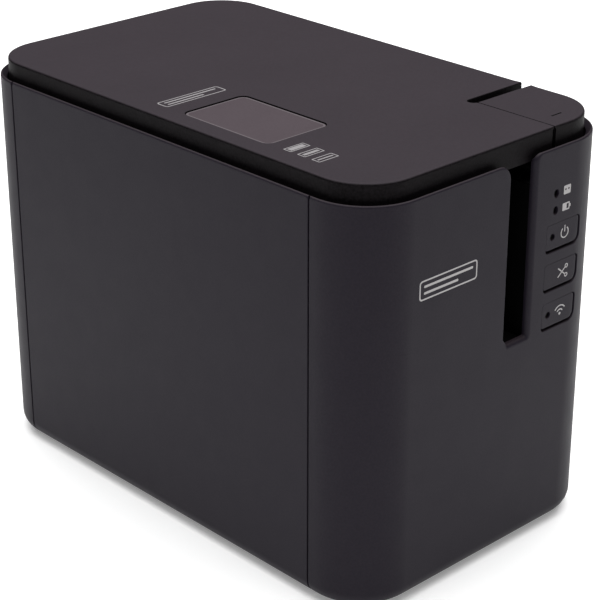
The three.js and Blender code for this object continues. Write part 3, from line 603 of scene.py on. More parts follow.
def wound(name, colour, centre, roughness):
    """Film or tape wound around an upright axis: fine rings on its ends."""
    made, nodes, links, shader = tree(name)
    rings = nodes.new("ShaderNodeTexWave")
    rings.wave_type = "RINGS"
    rings.rings_direction = "Z"
    rings.inputs["Scale"].default_value = 420.0
    rings.inputs["Distortion"].default_value = 0.6
    links.new(shifted(nodes, links, (-centre[0] * MM, -centre[1] * MM, 0)), rings.inputs["Vector"])
    links.new(mixed(nodes, links, rings.outputs["Fac"], tinted(colour, 0.7), colour),
              shader.inputs["Base Color"])
    links.new(ranged(nodes, links, noise(nodes, links, 300.0), roughness - 0.05, roughness + 0.05),
              shader.inputs["Roughness"])
    bumped(nodes, links, shader, rings.outputs["Fac"], 0.3, 0.00004)
    return made


def circuit(name, top):
    """A board with a green mask over copper tracks, with dark chips above its top face."""
    made, nodes, links, shader = tree(name)
    place = nodes.new("ShaderNodeTexCoord")
    tracks = nodes.new("ShaderNodeTexBrick")
    tracks.inputs["Scale"].default_value = 160.0
    tracks.inputs["Mortar Size"].default_value = 0.06
    tracks.inputs["Color1"].default_value = (0.012, 0.075, 0.03, 1)
    tracks.inputs["Color2"].default_value = (0.010, 0.060, 0.026, 1)
    tracks.inputs["Mortar"].default_value = (0.03, 0.16, 0.06, 1)
    links.new(place.outputs["Object"], tracks.inputs["Vector"])
    split = nodes.new("ShaderNodeSeparateXYZ")
    links.new(place.outputs["Object"], split.inputs["Vector"])
    above = nodes.new("ShaderNodeMath")
    above.operation = "GREATER_THAN"
    above.inputs[1].default_value = top * MM
    links.new(split.outputs["Z"], above.inputs[0])
    chips = mixed(nodes, links, above.outputs["Value"], tracks.outputs["Color"], (0.01, 0.01, 0.01))
    links.new(chips, shader.inputs["Base Color"])
    polish = ranged(nodes, links, noise(nodes, links, 400.0), 0.35, 0.5)
    links.new(polish, shader.inputs["Roughness"])
    bumped(nodes, links, shader, tracks.outputs["Fac"], 0.2, 0.00003)
    return made


def striped(name, film, copper):
    """A flexible cable with copper tracks along it."""
    made, nodes, links, shader = tree(name)
    tracks = nodes.new("ShaderNodeTexWave")
    tracks.wave_type = "BANDS"
    tracks.bands_direction = "X"
    tracks.inputs["Scale"].default_value = 320.0
    links.new(shifted(nodes, links, (0, 0, 0)), tracks.inputs["Vector"])
    links.new(mixed(nodes, links, tracks.outputs["Fac"], film, copper), shader.inputs["Base Color"])
    polish = ranged(nodes, links, noise(nodes, links, 300.0), 0.3, 0.4)
    links.new(polish, shader.inputs["Roughness"])
    bumped(nodes, links, shader, tracks.outputs["Fac"], 0.2, 0.00003)
    return made


# Painted light on the shell: level faces such as the rim top take the lighter lit colour, upright
# faces a darker, bluer painted shade.
SHELL_LIT_LEVEL_COLOUR = (0.0225, 0.0167, 0.0213)
SHELL = moulded("shell_plastic", SHELL_LIT_LEVEL_COLOUR, 0.5, specular=0.12, painted_upright_shade=(0.0110, 0.0087, 0.0145))
# Painted shade on the cover: its upright side wall is made near black for the shadow of the rim and
# the gap beneath it.
COVER = moulded("cover_plastic", (0.0291, 0.0238, 0.0284), 0.5, specular=0.05,
                painted_upright_shade=(0.0020, 0.0015, 0.0018))
INNER = moulded("inner_plastic", (0.006, 0.006, 0.0065), 0.6, specular=0.2)
# Near black: the dash print's own colour, and on the tape chute partly its plastic and partly
# painted shade for the dark inside of the slot.
BLACK_PRINT_AND_SLOT_SHADE = moulded("black_print_and_slot_shade", (0.0015, 0.0015, 0.0015), 0.8, specular=0.03)
WHITE = moulded("white_plastic", (0.36, 0.35, 0.32), 0.45)
ACETAL = moulded("acetal", (0.45, 0.43, 0.38), 0.35, grain=0.1)
RUBBER = moulded("rubber", (0.010, 0.010, 0.010), 0.8, grain=0.6, specular=0.2)
PANE = moulded("window_plastic", (0.056, 0.043, 0.050), 0.3, grain=0.04, specular=0.3)
LENS = moulded("lens_plastic", (0.001, 0.0012, 0.001), 0.3, grain=0.02, specular=0.1)
CERAMIC = moulded("ceramic", (0.6, 0.58, 0.52), 0.3, grain=0.1)
PRINT = moulded("printed_symbol", (0.40, 0.385, 0.39), 0.6, grain=0.1, specular=0.2)
PRINT_LEVEL = moulded("printed_cover_symbol", (0.21, 0.20, 0.205), 0.6, grain=0.1, specular=0.2)
# Lighter tone for the pane's ring: partly the pane's own border, partly a painted highlight for the
# bright line along its edge.
PANE_BORDER_HIGHLIGHT = moulded("window_border_highlight", (0.105, 0.090, 0.098), 0.3, grain=0.04, specular=0.3)
PAPER = moulded("paper_label", (0.5, 0.49, 0.46), 0.8, grain=0.2, specular=0.2)
GLOSS = moulded("connector_plastic", (0.006, 0.006, 0.006), 0.3, grain=0.05)
BOARD = circuit("circuit_board", 14.0)
KEY_BOARD = circuit("key_circuit_board", 200.0)
CABLE = striped("flat_cable", (0.20, 0.09, 0.02), (0.45, 0.22, 0.08))
TAPE = wound("wound_tape", (0.5, 0.49, 0.46), (-18, -2), 0.5)
INK = wound("wound_ink_film", (0.012, 0.012, 0.014), (-33, -40), 0.25)
STEEL = metal("steel", (0.45, 0.46, 0.47), 0.32)
ALUMINIUM = metal("aluminium", (0.55, 0.56, 0.57), 0.4)
BRASS = metal("gold_contacts", (0.65, 0.45, 0.18), 0.3)


# ---- Enclosure --------------------------------------------

FOOT_LEVELS = [FOOT_TOP - FOOT_ARC * i / FOOT_STEPS for i in range(FOOT_STEPS + 1)]
BEND = [FLAT + ARC * i / CORNER_STEPS for i in range(CORNER_STEPS + 1)]
KEY_ZONE_LOW, KEY_ZONE_HIGH = 75.6, 115.0
KEY_ZONE_RIGHT = 42.2


def level_guides(half):
    return [((-half - 1, v), (half + 1, v)) for v in FOOT_LEVELS]


def seam_side(u, rising):
    """The seam end of a wall, from its foot to just below the rim, or back down."""
    levels = [WALL_LOW, *FOOT_LEVELS[::-1], RIM - 2 * LIP_ROUND]
    points = [(u, v) for v in levels]
    return tag(points if rising else points[::-1], SEAM_ROUND)


def end_wall(path_half, top_points, us):
    """The outline of a front or rear wall, with its top edge given from right to left."""
    foot = tag([(u, WALL_LOW) for u in us], SEAM_ROUND)
    sides = seam_side(path_half, True), seam_side(-path_half, False)
    return without_repeats([*foot, *sides[0], *top_points, *sides[1]])


def slot_mouth():
    """The tape slot's edge from the rim on its right, down, across and up to the left of the rim."""
    left, right, low = SLOT_LEFT, SLOT_RIGHT, SLOT_LOW
    right_turn = arc(right + SLOT_RIGHT_ROUND, RIM - SLOT_RIGHT_ROUND, SLOT_RIGHT_ROUND, 90, 180, 8)
    left_turn = arc(left - SLOT_LEFT_ROUND, RIM - SLOT_LEFT_ROUND, SLOT_LEFT_ROUND, 0, 90, 10)
    corner = arc(right - SLOT_CORNER, low + SLOT_CORNER, SLOT_CORNER, 0, -90, 3)
    return [
        *tag(right_turn, LIP_ROUND, SLOT_SOFT),
        *tag([(right, RIM - 20), (right, low + 14)], SLOT_SOFT),
        *tag(corner, SLOT_SOFT, SLOT_SILL),
        *tag([(left + SLOT_CHAMFER, low)], SLOT_SILL),
        *tag([(left, low + SLOT_CHAMFER), (left, low + 12)], SLOT_CRISP),
        *tag(left_turn, SLOT_CRISP, LIP_ROUND),
    ]


def key_opening(low):
    """The opening around a key, with a fine gap above and on its left and a wide one below and on
    its right."""
    a0, a1 = KEY_LEFT - KEY_GAP, KEY_RIGHT + KEY_GAP_WIDE
    b0, b1 = low - KEY_GAP_WIDE, low + KEY_HEIGHT + KEY_GAP
    points = [
        *tag(arc(a1 - 3.4, b0 + 3.4, 3.4, -90, 0, 8), 0.25),
        *tag(arc(a1 - 1.6, b1 - 1.6, 1.6, 0, 90, 5), 0.25, KEY_FINE),
        *tag(arc(a0 + 1.2, b1 - 1.2, 1.2, 90, 180, 4), KEY_FINE),
        *tag(arc(a0 + 1.2, b0 + 1.2, 1.2, 180, 270, 4), KEY_FINE, 0.25),
    ]
    return hole(without_repeats(points))


def lamp_spot(node):
    low, high = box_mm(node)
    return (low.x + high.x) / 2, (low.z + high.z) / 2


def front_guides(half):
    guides = level_guides(half)
    for u in BEND:
        guides.append(((-u, WALL_LOW - 1), (-u, RIM + 1)))
        if u < KEY_ZONE_RIGHT:
            guides.append(((u, WALL_LOW - 1), (u, KEY_ZONE_LOW)))
            guides.append(((u, KEY_ZONE_HIGH), (u, RIM + 1)))
        else:
            guides.append(((u, WALL_LOW - 1), (u, RIM + 1)))
    return guides


def front_shell():
    half = FLAT + ARC + (FRONT_HIGH.y + HALF_DEPTH - CORNER)
    us = [-half, *[-u for u in BEND[::-1]], *BEND, half]
    right = [(u, RIM) for u in [half, *BEND[::-1]]]
    left = [(-u, RIM) for u in [*BEND, half]]
    top = [*tag(right, LIP_ROUND), *slot_mouth(), *tag(left, LIP_ROUND)]
    holes = [key_opening(low) for low in KEY_LOWS.values()]
    for node in ("cassette_lamp_lens", "battery_lamp_lens"):
        holes.append(hole(ellipse(*lamp_spot(node), LAMP_WIDE, LAMP_HIGH, 0.15)))
    outline = end_wall(half, top, us)
    return plate(FRONT_WALL, outline, WALL, holes, front_guides(half), behind=sloped(outline))


def tape_chute():
    """The trough behind the slot, open at the front and at the top."""
    x0, x1 = SLOT_LEFT - CHUTE_WALL, SLOT_RIGHT + CHUTE_WALL
    z0, z1 = SLOT_LOW - 1 - CHUTE_WALL, CHUTE_TOP
    sill = z0 + CHUTE_WALL
    outline = tag([
        (x0, z0), (x1, z0), (x1, z1), (SLOT_RIGHT, z1),
        (SLOT_RIGHT, sill), (SLOT_LEFT, sill), (SLOT_LEFT, z1), (x0, z1),
    ], 0.02)
    start = -HALF_DEPTH + WALL + 2 * PRINT_ROOM
    return plate(facing_front(start), outline, CHUTE_REAR - start, steps=1)


def rear_shell():
    seam_angle = math.pi / 2 - math.asin((REAR_LOW.y - HALF_DEPTH + CORNER) / CORNER)
    half = FLAT + CORNER * seam_angle
    bend = [u for u in BEND if u < half - 0.3]
    us = [-half, *[-u for u in bend[::-1]], *bend, half]
    top = tag([(u, RIM) for u in us[::-1]], LIP_ROUND)
    holes = []
    sockets = (("usb_port", USB_WIDE, USB_HIGH), ("serial_port", SERIAL_WIDE, SERIAL_HIGH))
    for node, width, height in sockets:
        low, high = box_mm(node)
        middle = -(low.x + high.x) / 2
        level = (PORT_LEVEL - height / 2, PORT_LEVEL + height / 2)
        holes.append(hole(rounded(middle - width / 2, middle + width / 2, *level, 0.8, 0.3, 3)))
    low, high = box_mm("power_inlet")
    holes.append(hole(circle(-(low.x + high.x) / 2, PORT_LEVEL, POWER_HOLE, 0.4, 32)))
    holes = [without_repeats(h) for h in holes]
    guides = level_guides(half)
    guides += [((s * u, WALL_LOW - 1), (s * u, RIM + 1)) for u in bend for s in (-1, 1)]
    outline = end_wall(half, top, us)
    return plate(REAR_WALL, outline, WALL, holes, guides, behind=sloped(outline))


def side_panel(path, u0, u1):
    levels = [WALL_LOW, *FOOT_LEVELS[::-1], RIM - 2 * LIP_ROUND]
    outline = without_repeats([
        *tag([(u0, WALL_LOW), (u1, WALL_LOW)], SEAM_ROUND),
        *tag([(u1, v) for v in levels], SEAM_ROUND),
        *tag([(u1, RIM), (u0, RIM)], LIP_ROUND),
        *tag([(u0, v) for v in levels[::-1]], SEAM_ROUND),
    ])
    guides = [((u0 - 1, v), (u1 + 1, v)) for v in FOOT_LEVELS]
    return plate(wrapped(path), outline, WALL, guides=guides, behind=sloped(outline))


# ---- Cover ------------------------------------------------

def skirt_depth(a, b):
    """How far the cover's side wall hangs, with a notch at each hinge."""
    notched = b > HINGE_Y and abs(abs(a) - HINGE_X) < NOTCH_HALF
    return COVER_TOP - (HINGE_Z if notched else COVER_SKIRT)


def cover_outline():
    """The cover's outline from above, without the front right corner, where the button is."""
    x, y = COVER_HIGH.x, COVER_HIGH.y
    radius = CORNER - (HALF_WIDTH - x)
    groove = (GROOVE_REAR - GROOVE_FRONT) / 2
    steps = CORNER_STEPS
    sides = [HINGE_X + s * (NOTCH_HALF + t * NOTCH_STEP) for s in (-1, 1) for t in (-1, 1)]
    notch = [math.degrees(math.acos((side - x + radius) / radius)) for side in sides]
    turn = sorted([90 * i / steps for i in range(steps + 1)] + notch)
    points = [
        *tag(arc(-x + radius, -y + radius, radius, 180, 270, steps), COVER_ROUND),
        *tag([(BUTTON_SEAM - 3, -y)], COVER_ROUND),
        *tag([(BUTTON_SEAM, -y)], 0.3),
        *tag([(BUTTON_SEAM, -y + 3), (BUTTON_SEAM, GROOVE_FRONT - 1.5)], GAP_FINE),
        *tag(arc(BUTTON_SEAM + 0.4, GROOVE_FRONT + groove, groove, 255, 90, 8), 0.35, 0.5),
        *tag([(x - 2, GROOVE_REAR)], 0.5),
        *tag([(x, GROOVE_REAR)], 0.5),
        *tag([(x, GROOVE_REAR + 3)], COVER_ROUND),
        *tag(arc_at(x - radius, y - radius, radius, turn), COVER_ROUND),
        *tag(arc_at(-x + radius, y - radius, radius, [180 - t for t in turn[::-1]]), COVER_ROUND),
    ]
    return without_repeats(points)


def window_outline(grow, edge=0.0):
    """The window's opening in the cover, grown or shrunk."""
    a0, b0 = PANE_LOW.x - PANE_GAP - grow, PANE_LOW.y - PANE_GAP - grow
    a1, b1 = PANE_HIGH.x + PANE_GAP + grow, PANE_HIGH.y + PANE_GAP + grow
    return without_repeats(rounded(a0, a1, b0, b1, PANE_CORNER + grow, edge, 8))


def drawn_back(solid, outline, above, seam, step):
    """A ring below the top face whose side at the seam is drawn back, so the gap there widens."""
    points = [(a + step if abs(a - seam) < 0.01 else a, b) for a, b, _ in outline]
    ring = solid.ring(points, [GAP_DEPTH] * len(points))
    solid.strip(above, ring)
    return ring


def top_cover():
    solid = Solid(COVER_FACE)
    outline = cover_outline()
    face, low = solid.edge(outline)
    depths = [skirt_depth(a, b) for a, b, _ in outline]
    skirt = solid.wall(drawn_back(solid, outline, low, BUTTON_SEAM, -GAP_STEP), depths)
    inner = solid.ring(offset(outline, [COVER_WALL] * len(outline)), depths)
    solid.strip(skirt, inner)
    under = solid.wall(inner, COVER_THICK)
    recess_face, recess_low = solid.edge(hole(window_outline(0, 0.2)), steps=2)
    ledge_depth = COVER_TOP - PANE_LOW.z
    ledge = solid.wall(recess_low, ledge_depth)
    opening = [p[:2] for p in hole(window_outline(-PANE_LEDGE))]
    sight = solid.ring(opening, [ledge_depth] * len(ledge))
    solid.strip(ledge, sight)
    sight_low = solid.wall(sight, COVER_THICK)
    solid.cap([face, recess_face], 0.0)
    solid.cap([under, sight_low], COVER_THICK, turned=True)
    return solid


def hinge_boss(x):
    """An eye around the hinge axis that hangs from the cover's plate, with its right side at x."""
    root = COVER_PLATE + INTO_PLATE
    outline = [
        *tag(arc(HINGE_Y, HINGE_Z, HINGE_EYE, 180, 360, 16), BOSS_SOFT),
        *tag([(HINGE_Y + HINGE_EYE, root), (HINGE_Y - HINGE_EYE, root)], BOSS_SOFT),
    ]
    bore = hole(circle(HINGE_Y, HINGE_Z, HINGE_BORE, 0.15))
    return plate(facing_right(x), outline, BOSS_WIDE, [bore], back=BOSS_SOFT, steps=2)


def cover_catch():
    """The hook that the latch holds."""
    nose, root = CATCH_RIGHT + CATCH_NOSE, COVER_PLATE + INTO_PLATE
    outline = tag([
        (CATCH_LEFT, CATCH_LOW), (CATCH_RIGHT + 1, CATCH_LOW), (nose, CATCH_LOW + 1.5),
        (nose, CATCH_LOW + CATCH_HIGH), (CATCH_RIGHT, CATCH_LOW + CATCH_HIGH),
        (CATCH_RIGHT, root), (CATCH_LEFT, root),
    ], BOSS_SOFT)
    return plate(facing_front(CATCH_FRONT), outline, CATCH_DEEP, back=BOSS_SOFT, steps=2)


def cover_ribs():
    """Stiffening ribs under the cover's plate, behind the window."""
    thick, half = COVER_PLATE + INTO_PLATE - RIB_LOW, RIB_HALF
    under = facing_down(RIB_LOW)
    cross = [bar(under, -RIB_SIDE, RIB_SIDE, -y - half, -y + half, thick) for y in CROSS_RIBS]
    end = -CROSS_RIBS[0]
    return cross + [bar(under, x - half, x + half, RIB_FAR, end, thick) for x in LONG_RIBS]


def button_outline():
    x, y = BUTTON_HIGH.x, BUTTON_LOW.y
    radius = CORNER - (HALF_WIDTH - x)
    left, rear = BUTTON_LOW.x, BUTTON_HIGH.y
    return without_repeats([
        *tag([(left, y)], 0.3),
        *tag([(left + 3, y)], COVER_ROUND),
        *tag(arc(x - radius, y + radius, radius, -90, 0, CORNER_STEPS), COVER_ROUND),
        *tag([(x, rear - 3)], COVER_ROUND),
        *tag([(x, rear), (left + 2, rear), (left, rear), (left, rear - 2)], 0.5, GAP_FINE),
    ])


def cover_open_button():
    solid = Solid(COVER_FACE)
    outline = button_outline()
    count, depth = len(outline), COVER_TOP - BUTTON_SKIRT
    face, low = solid.edge(outline)
    skirt = solid.wall(drawn_back(solid, outline, low, BUTTON_LOW.x, GAP_STEP), depth)
    inner = solid.ring(offset(outline, [COVER_WALL] * count), [depth] * count)
    solid.strip(skirt, inner)
    under = solid.wall(inner, COVER_THICK)
    solid.cap([face], 0.0)
    solid.cap([under], COVER_THICK, turned=True)
    return solid


def button_stem():
    """The post under the button that presses the latch."""
    top = COVER_PLATE + INTO_PLATE
    x, y, half = STEM_X, STEM_Y, STEM_HALF
    return bar(facing_up(top), x - half, x + half, y - half, y + half, top - STEM_LOW)


class Wire:
    """A round wire along a path of points, with closed ends."""

    def __init__(self, path, radius, sides=10):
        self.points = []
        self.faces = []
        last = len(path) - 1
        for i, point in enumerate(path):
            here = Vector(point)
            along = (Vector(path[min(i + 1, last)]) - Vector(path[max(i - 1, 0)])).normalized()
            across = along.cross(Vector((0, 0, 1))).normalized()
            up = across.cross(along)
            for k in range(sides):
                turn = 2 * math.pi * k / sides
                self.points.append(here + (across * math.cos(turn) + up * math.sin(turn)) * radius)
        for i in range(last):
            for k in range(sides):
                a, b = i * sides + k, i * sides + (k + 1) % sides
                self.faces.append((a, a + sides, b + sides, b))
        self.faces.append(tuple(range(sides)))
        self.faces.append(tuple(last * sides + k for k in range(sides))[::-1])

    def surface(self):
        return [tuple(p * MM) for p in self.points], self.faces


def button_spring():
    """A compression spring whose end coils lie nearly flat."""
    steps = SPRING_TURNS * 28
    low, high = SPRING_LOW + SPRING_WIRE, SPRING_HIGH - SPRING_WIRE
    path = []
    for i in range(steps + 1):
        share = i / steps
        turn = 2 * math.pi * SPRING_TURNS * share
        rise = min(max((share - 0.1) / 0.8, 0), 1)
        x = SPRING_X + SPRING_RADIUS * math.cos(turn)
        y = SPRING_Y + SPRING_RADIUS * math.sin(turn)
        path.append((x, y, low + (high - low) * rise))
    return Wire(path, SPRING_WIRE)


# ---- Assembly ---------------------------------------------

piece("front_shell_moulding", front_shell(), SHELL, "housing", ["front_shell"])
# The chute is near black: partly its own plastic, partly painted shade for the inside of the slot.
piece("tape_chute_moulding", tape_chute(), BLACK_PRINT_AND_SLOT_SHADE, "housing", ["front_shell"])
piece("rear_shell_moulding", rear_shell(), SHELL, "housing", ["rear_shell"])
SIDE_FRONT, SIDE_REAR = SIDE_LOW.y + SEAM_MORE, SIDE_HIGH.y - SEAM_MORE
piece("left_side_panel_moulding", side_panel(left_path, -SIDE_REAR, -SIDE_FRONT), SHELL, "housing",
      ["left_side_panel"])
piece("right_side_panel_moulding", side_panel(right_path, SIDE_FRONT, SIDE_REAR), SHELL, "housing",
      ["right_side_panel"])

bosses = [hinge_boss(s * HINGE_X + right) for s in (-1, 1) for right in (-BOSS_NEAR, BOSS_FAR)]
piece("top_cover_moulding", top_cover(), COVER, "cover", ["top_cover"])
piece("top_cover_inner_parts", [*bosses, cover_catch(), *cover_ribs()], COVER, "cover",
      ["top_cover"])
pane = plate(facing_up(PANE_TOP), window_outline(-PANE_LESS, 0.12), PANE_TOP - PANE_LOW.z, steps=3)
piece("cover_window_pane", pane, PANE, "cover", ["cover_window"])
# A lighter ring printed round the pane: partly its own border tone, partly a painted highlight on
# its edge.
border = [window_outline(-BORDER_OUT), hole(window_outline(-BORDER_IN))]
piece("cover_window_border_highlight", prints(facing_up(PANE_TOP), border), PANE_BORDER_HIGHLIGHT, "cover",
      ["cover_window"])
piece("cover_open_button_moulding", [cover_open_button(), button_stem()], COVER, "cover_button",
      ["cover_open_button"])
spring = piece("button_spring_wire", button_spring(), STEEL, "housing", ["button_spring"])
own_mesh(spring)


# ---- Keys and lamps ---------------------------------------

def key_cap(node):
    low = KEY_LOWS[node]
    a0, a1, b0, b1 = KEY_LEFT, KEY_RIGHT, low, low + KEY_HEIGHT
    points = [
        *tag(arc(a1 - 2.6, b0 + 2.6, 2.6, -90, 0, 8), 0.35),
        *tag(arc(a1 - 1.3, b1 - 1.3, 1.3, 0, 90, 5), 0.35, 0.04),
        *tag(arc(a0 + 1.15, b1 - 1.15, 1.15, 90, 180, 4), 0.04),
        *tag(arc(a0 + 1.0, b0 + 1.0, 1.0, 180, 270, 4), 0.04, 0.35),
    ]
    return without_repeats(points)


KEY_BODIES = {
    "wireless_key": "key_wireless",
    "feed_cut_key": "key_feed_cut",
    "power_key": "key_power",
}
KEY_LENSES = {"wireless_key": "wireless_lamp_lens", "power_key": "power_lamp_lens"}


def lens(node, wide, high, depth, body):
    """A lamp lens set a little below the face around it."""
    outline = ellipse(*lamp_spot(node), wide, high, 0.3)
    made = plate(sunk(FRONT_WALL, depth), outline, LENS_THICK, steps=3)
    piece(node + "_moulding", made, LENS, body, [node])


for node, body in KEY_BODIES.items():
    holes = []
    if node in KEY_LENSES:
        holes.append(hole(circle(*lamp_spot(KEY_LENSES[node]), KEY_LAMP, 0.12)))
        lens(KEY_LENSES[node], KEY_LAMP - LENS_GAP, KEY_LAMP - LENS_GAP, 0.8, body)
    cap = plate(FRONT_WALL, key_cap(node), KEY_THICK, holes)
    piece(node + "_moulding", cap, SHELL, body, [node])
for node in ("cassette_lamp_lens", "battery_lamp_lens"):
    lens(node, LAMP_WIDE - LENS_GAP, LAMP_HIGH - LENS_GAP, 1.0, "housing")


# ---- Printed symbols --------------------------------------

LINE = 0.42


def power_symbol(a, b):
    ring = stroke(arc(a, b, 1.8, 125, 415, 20), LINE)
    return [[ring], [stroke([(a, b + 0.2), (a, b + 2.5)], LINE)]]


def wireless_symbol(a, b):
    waves = [[stroke(arc(a, b - 1.7, r, 38, 142, 12), LINE)] for r in (1.7, 3.1)]
    return [[circle(a, b - 1.5, 0.5, steps=12)], *waves]


def feed_cut_symbol(a, b):
    """Two crossing blades with finger rings."""
    blades = [[stroke([(a + 1.5, b - s * 1.3), (a - 2.1, b + s * 1.6)], LINE)] for s in (-1, 1)]
    spots = [(a + 2.0, b + s * 1.6) for s in (-1, 1)]
    rings = [[circle(*spot, 0.8, steps=14), hole(circle(*spot, 0.42, steps=14))] for spot in spots]
    return blades + rings


def cassette_symbol(a, b):
    reels = [hole(circle(a + s * 0.75, b + 0.2, 0.38, steps=12)) for s in (-1, 1)]
    return [[rounded(a - 1.7, a + 1.7, b - 1.5, b + 1.5, 0.4), *reels]]


def battery_symbol(a, b):
    frame_line = [rounded(a - 1.9, a + 1.6, b - 1.3, b + 1.3, 0.2),
                  hole(rounded(a + 0.1, a + 1.2, b - 0.85, b + 0.85, 0.1))]
    return [frame_line, [rounded(a + 1.65, a + 2.1, b - 0.55, b + 0.55, 0.1)]]


SYMBOL_X = 33.3
for name, symbol, height, body in (
    ("cassette_symbol_print", cassette_symbol, 124.4, "housing"),
    ("battery_symbol_print", battery_symbol, 118.6, "housing"),
    ("power_symbol_print", power_symbol, 109.6, "key_power"),
    ("feed_cut_symbol_print", feed_cut_symbol, 95.7, "key_feed_cut"),
    ("wireless_symbol_print", wireless_symbol, 82.2, "key_wireless"),
):
    piece(name, prints(FRONT_WALL, *symbol(SYMBOL_X, height)), PRINT, body)


def label_pictogram(a, b, wide, high):
    """A plain label with a rounded border and two lines of filler. Its sizes are half its width
    and half its height."""
    inner_wide, inner_high = wide - 0.5, high - 0.5
    border = [rounded(a - wide, a + wide, b - high, b + high, 1.2),
              hole(rounded(a - inner_wide, a + inner_wide, b - inner_high, b + inner_high, 0.8))]
    left, row = a - wide + 2, high / 3
    return [border, [rounded(left, a + wide - 2, b + row - 0.4, b + row + 0.4, 0.35)],
            [rounded(left, a + wide / 3, b - row - 0.4, b - row + 0.4, 0.35)]]


def width_pictogram(a, b, share):
    """A short piece of tape whose filled band takes a share of its width."""
    band = 1.3 * share
    outline = [rounded(a - 4.2, a + 4.2, b - 1.8, b + 1.8, 0.4),
               hole(rounded(a - 3.8, a + 3.8, b - 1.4, b + 1.4, 0.2))]
    return [outline, [rounded(a - 3.2, a + 3.2, b - band, b + band, 0.1)]]


FRONT_LABEL = (-22, 109.5, 13, 3.3)
COVER_LABEL = (-35, 7, 13, 2.8)
WIDTHS_X, WIDTHS_Y, WIDTHS_STEP, WIDTHS = -43.5, -52, 6.2, (0.8, 0.5, 0.25)
DASH, DASH_WIDTH = [(35.4, -86.6), (40.3, -86.6)], 0.6

piece("front_label_print", prints(FRONT_WALL, *label_pictogram(*FRONT_LABEL)), PRINT, "housing")
piece("cover_label_print", prints(COVER_FACE, *label_pictogram(*COVER_LABEL)), PRINT_LEVEL, "cover")
widths = [shape for row, share in enumerate(WIDTHS)
          for shape in width_pictogram(WIDTHS_X, WIDTHS_Y - WIDTHS_STEP * row, share)]
piece("cover_width_print", prints(COVER_FACE, *widths), PRINT_LEVEL, "cover")
piece("button_dash_print", prints(COVER_FACE, [stroke(DASH, DASH_WIDTH)]), BLACK_PRINT_AND_SLOT_SHADE, "cover_button")


# ---- Feet, sockets and cassette label ---------------------

for node in ("foot_front_left", "foot_front_right", "foot_rear_left", "foot_rear_right"):
    low, high = box_mm(node)
    spot = ((low.x + high.x) / 2, -(low.y + high.y) / 2)
    rim = plate(facing_down(0), circle(*spot, FOOT_RADIUS, 0.5, 40), FOOT_THICK,
                [hole(circle(*spot, FOOT_RIM, 0.3, 32))], back=0.2, steps=4)
    centre = plate(facing_down(FOOT_RECESS), circle(*spot, FOOT_CENTRE, 0.1, 32),
                   FOOT_THICK - FOOT_RECESS, steps=2)
    piece(node + "_pad", [rim, centre], RUBBER, "housing", [node])

low, high = box_mm("usb_port")
USB_X, SOCKET_REAR = (low.x + high.x) / 2, high.y
TONGUE_HALF, TONGUE_THICK = 2.8, 1.6
tongue = bar(facing_rear(SOCKET_REAR - 1), -USB_X - TONGUE_HALF, -USB_X + TONGUE_HALF,
             PORT_LEVEL - TONGUE_THICK, PORT_LEVEL + TONGUE_THICK, 9)
piece("usb_port_tongue", tongue, WHITE, "housing")
fingers = [
    bar(facing_rear(SOCKET_REAR - 1.4), -USB_X + s * 1.4 - 0.4, -USB_X + s * 1.4 + 0.4,
        PORT_LEVEL + k * TONGUE_THICK - 0.08, PORT_LEVEL + k * TONGUE_THICK + 0.08, 7, 0.05)
    for s in (-1, 1) for k in (-1, 1)
]
piece("usb_port_contacts", fingers, BRASS, "housing")
low, high = box_mm("serial_port")
SERIAL_X = (low.x + high.x) / 2
wires = []
for i in range(CONTACTS):
    x = SERIAL_X + (i - (CONTACTS - 1) / 2) * CONTACT_PITCH
    ends = [(x, SOCKET_REAR - 1.5, PORT_LEVEL + 3.2), (x, SOCKET_REAR - 9.0, PORT_LEVEL + 0.8)]
    wires.append(Wire(ends, 0.2))
piece("serial_port_contacts", wires, BRASS, "housing")

STICKER, STICKER_MARK = (-42, -8, -26, 20), (-25, -4, 12, 4)
STICKER_TOP = box_mm("cassette_lid")[1].z + 0.06
sticker = plate(facing_up(STICKER_TOP), rounded(*STICKER, 2, 0.02), 0.1, steps=1)
piece("cassette_label", sticker, PAPER, "housing")
sticker_print = prints(facing_up(STICKER_TOP + 0.01), *label_pictogram(*STICKER_MARK))
piece("cassette_label_print", sticker_print, INNER, "housing")


# ---- Finishes of the shown CAD nodes ----------------------

SLOT_FINISHES = {
    "shell_plastic": SHELL, "cover_plastic": COVER, "inner_plastic": INNER, "white_plastic": WHITE,
    "gear_plastic": ACETAL, "window_plastic": PANE, "lens_plastic": LENS, "rubber": RUBBER,
    "steel": STEEL, "aluminium": ALUMINIUM, "ceramic": CERAMIC, "circuit_board": BOARD,
    "black_plastic": GLOSS, "ink_film": INK, "tape": TAPE, "flat_cable": CABLE,
}
NODE_FINISHES = {"key_board": KEY_BOARD}
BEVEL_SHARE, BEVEL_MOST = 0.06, 0.25


def finished(node, material):
    """Gives a shown node its finish and softly broken edges."""
    shown = frame["nodes"][node]
    shown.data.materials.clear()
    shown.data.materials.append(material)
    low, high = box_mm(node)
    merged = shown.modifiers.new("flat_faces", "DECIMATE")
    merged.decimate_type = "DISSOLVE"
    merged.angle_limit = math.radians(1)
    broken = shown.modifiers.new("broken_edges", "BEVEL")
    broken.width = min(BEVEL_MOST, BEVEL_SHARE * min(high - low)) * MM
    broken.segments = 2
    broken.limit_method = "ANGLE"
    broken.angle_limit = SMOOTH_UNDER
    broken.harden_normals = True


for part in frame["record"]["subparts"]:
    node = part["node"]
    if not frame["nodes"][node].hide_render:
        finished(node, NODE_FINISHES.get(node, SLOT_FINISHES[part["material_slot"]]))


# ---- Stage ------------------------------------------------

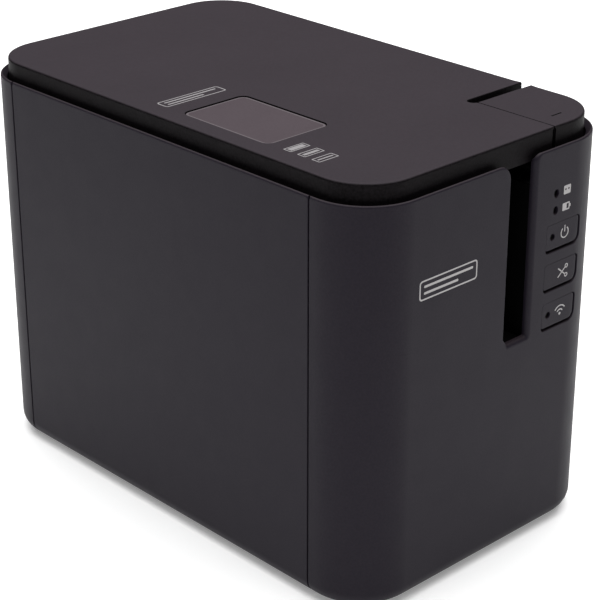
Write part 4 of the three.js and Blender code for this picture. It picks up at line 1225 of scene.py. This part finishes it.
FLOOR_SIZE, FLOOR_DROP = 12, 0.0001
FLOOR_GLOW, WORLD_GLOW = 0.25, 0.12
LIGHT_PLACE, LIGHT_SIZE, LIGHT_POWER = (0.1, 0.1, 1.6), (2.2, 2.2), 60
EYE, EYE_TARGET = Vector((-0.41329, -0.44229, 0.34122)), Vector((-0.0091, -0.01578, 0.072))
FOCAL_LENGTH, SENSOR_WIDTH = 112.4, 36


def turned_to(target, place):
    """The rotation of a camera or light at a place that looks at the target."""
    return (Vector(target) - Vector(place)).to_track_quat("-Z", "Y").to_euler()


def area_light(name, place, target, size, power):
    data = bpy.data.lights.new(name, "AREA")
    data.shape = "RECTANGLE"
    data.size, data.size_y = size
    data.energy = power
    lamp = bpy.data.objects.new(name, data)
    lamp.location = place
    lamp.rotation_euler = turned_to(target, place)
    bpy.context.scene.collection.objects.link(lamp)


def stage():
    bpy.ops.mesh.primitive_plane_add(size=FLOOR_SIZE)
    floor = bpy.context.active_object
    floor.name = "floor"
    floor.location.z = -FLOOR_DROP
    made, _, _, shader = tree("pale_floor")
    shader.inputs["Base Color"].default_value = (0.9, 0.9, 0.9, 1)
    shader.inputs["Roughness"].default_value = 0.9
    shader.inputs["Specular IOR Level"].default_value = 0.0
    shader.inputs["Emission Color"].default_value = (1, 1, 1, 1)
    shader.inputs["Emission Strength"].default_value = FLOOR_GLOW
    floor.data.materials.append(made)
    world = bpy.data.worlds.new("studio")
    world.use_nodes = True
    background = world.node_tree.nodes["Background"]
    background.inputs["Color"].default_value = (1, 1, 1, 1)
    background.inputs["Strength"].default_value = WORLD_GLOW
    bpy.context.scene.world = world
    area_light("overhead", LIGHT_PLACE, (0, 0, 0), LIGHT_SIZE, LIGHT_POWER)
    bpy.context.scene.view_settings.view_transform = "Standard"


def camera():
    data = bpy.data.cameras.new("camera")
    data.lens = FOCAL_LENGTH
    data.sensor_width = SENSOR_WIDTH
    eye = bpy.data.objects.new("camera", data)
    eye.location = EYE
    eye.rotation_euler = turned_to(EYE_TARGET, EYE)
    bpy.context.scene.collection.objects.link(eye)
    bpy.context.scene.camera = eye


stage()
camera()
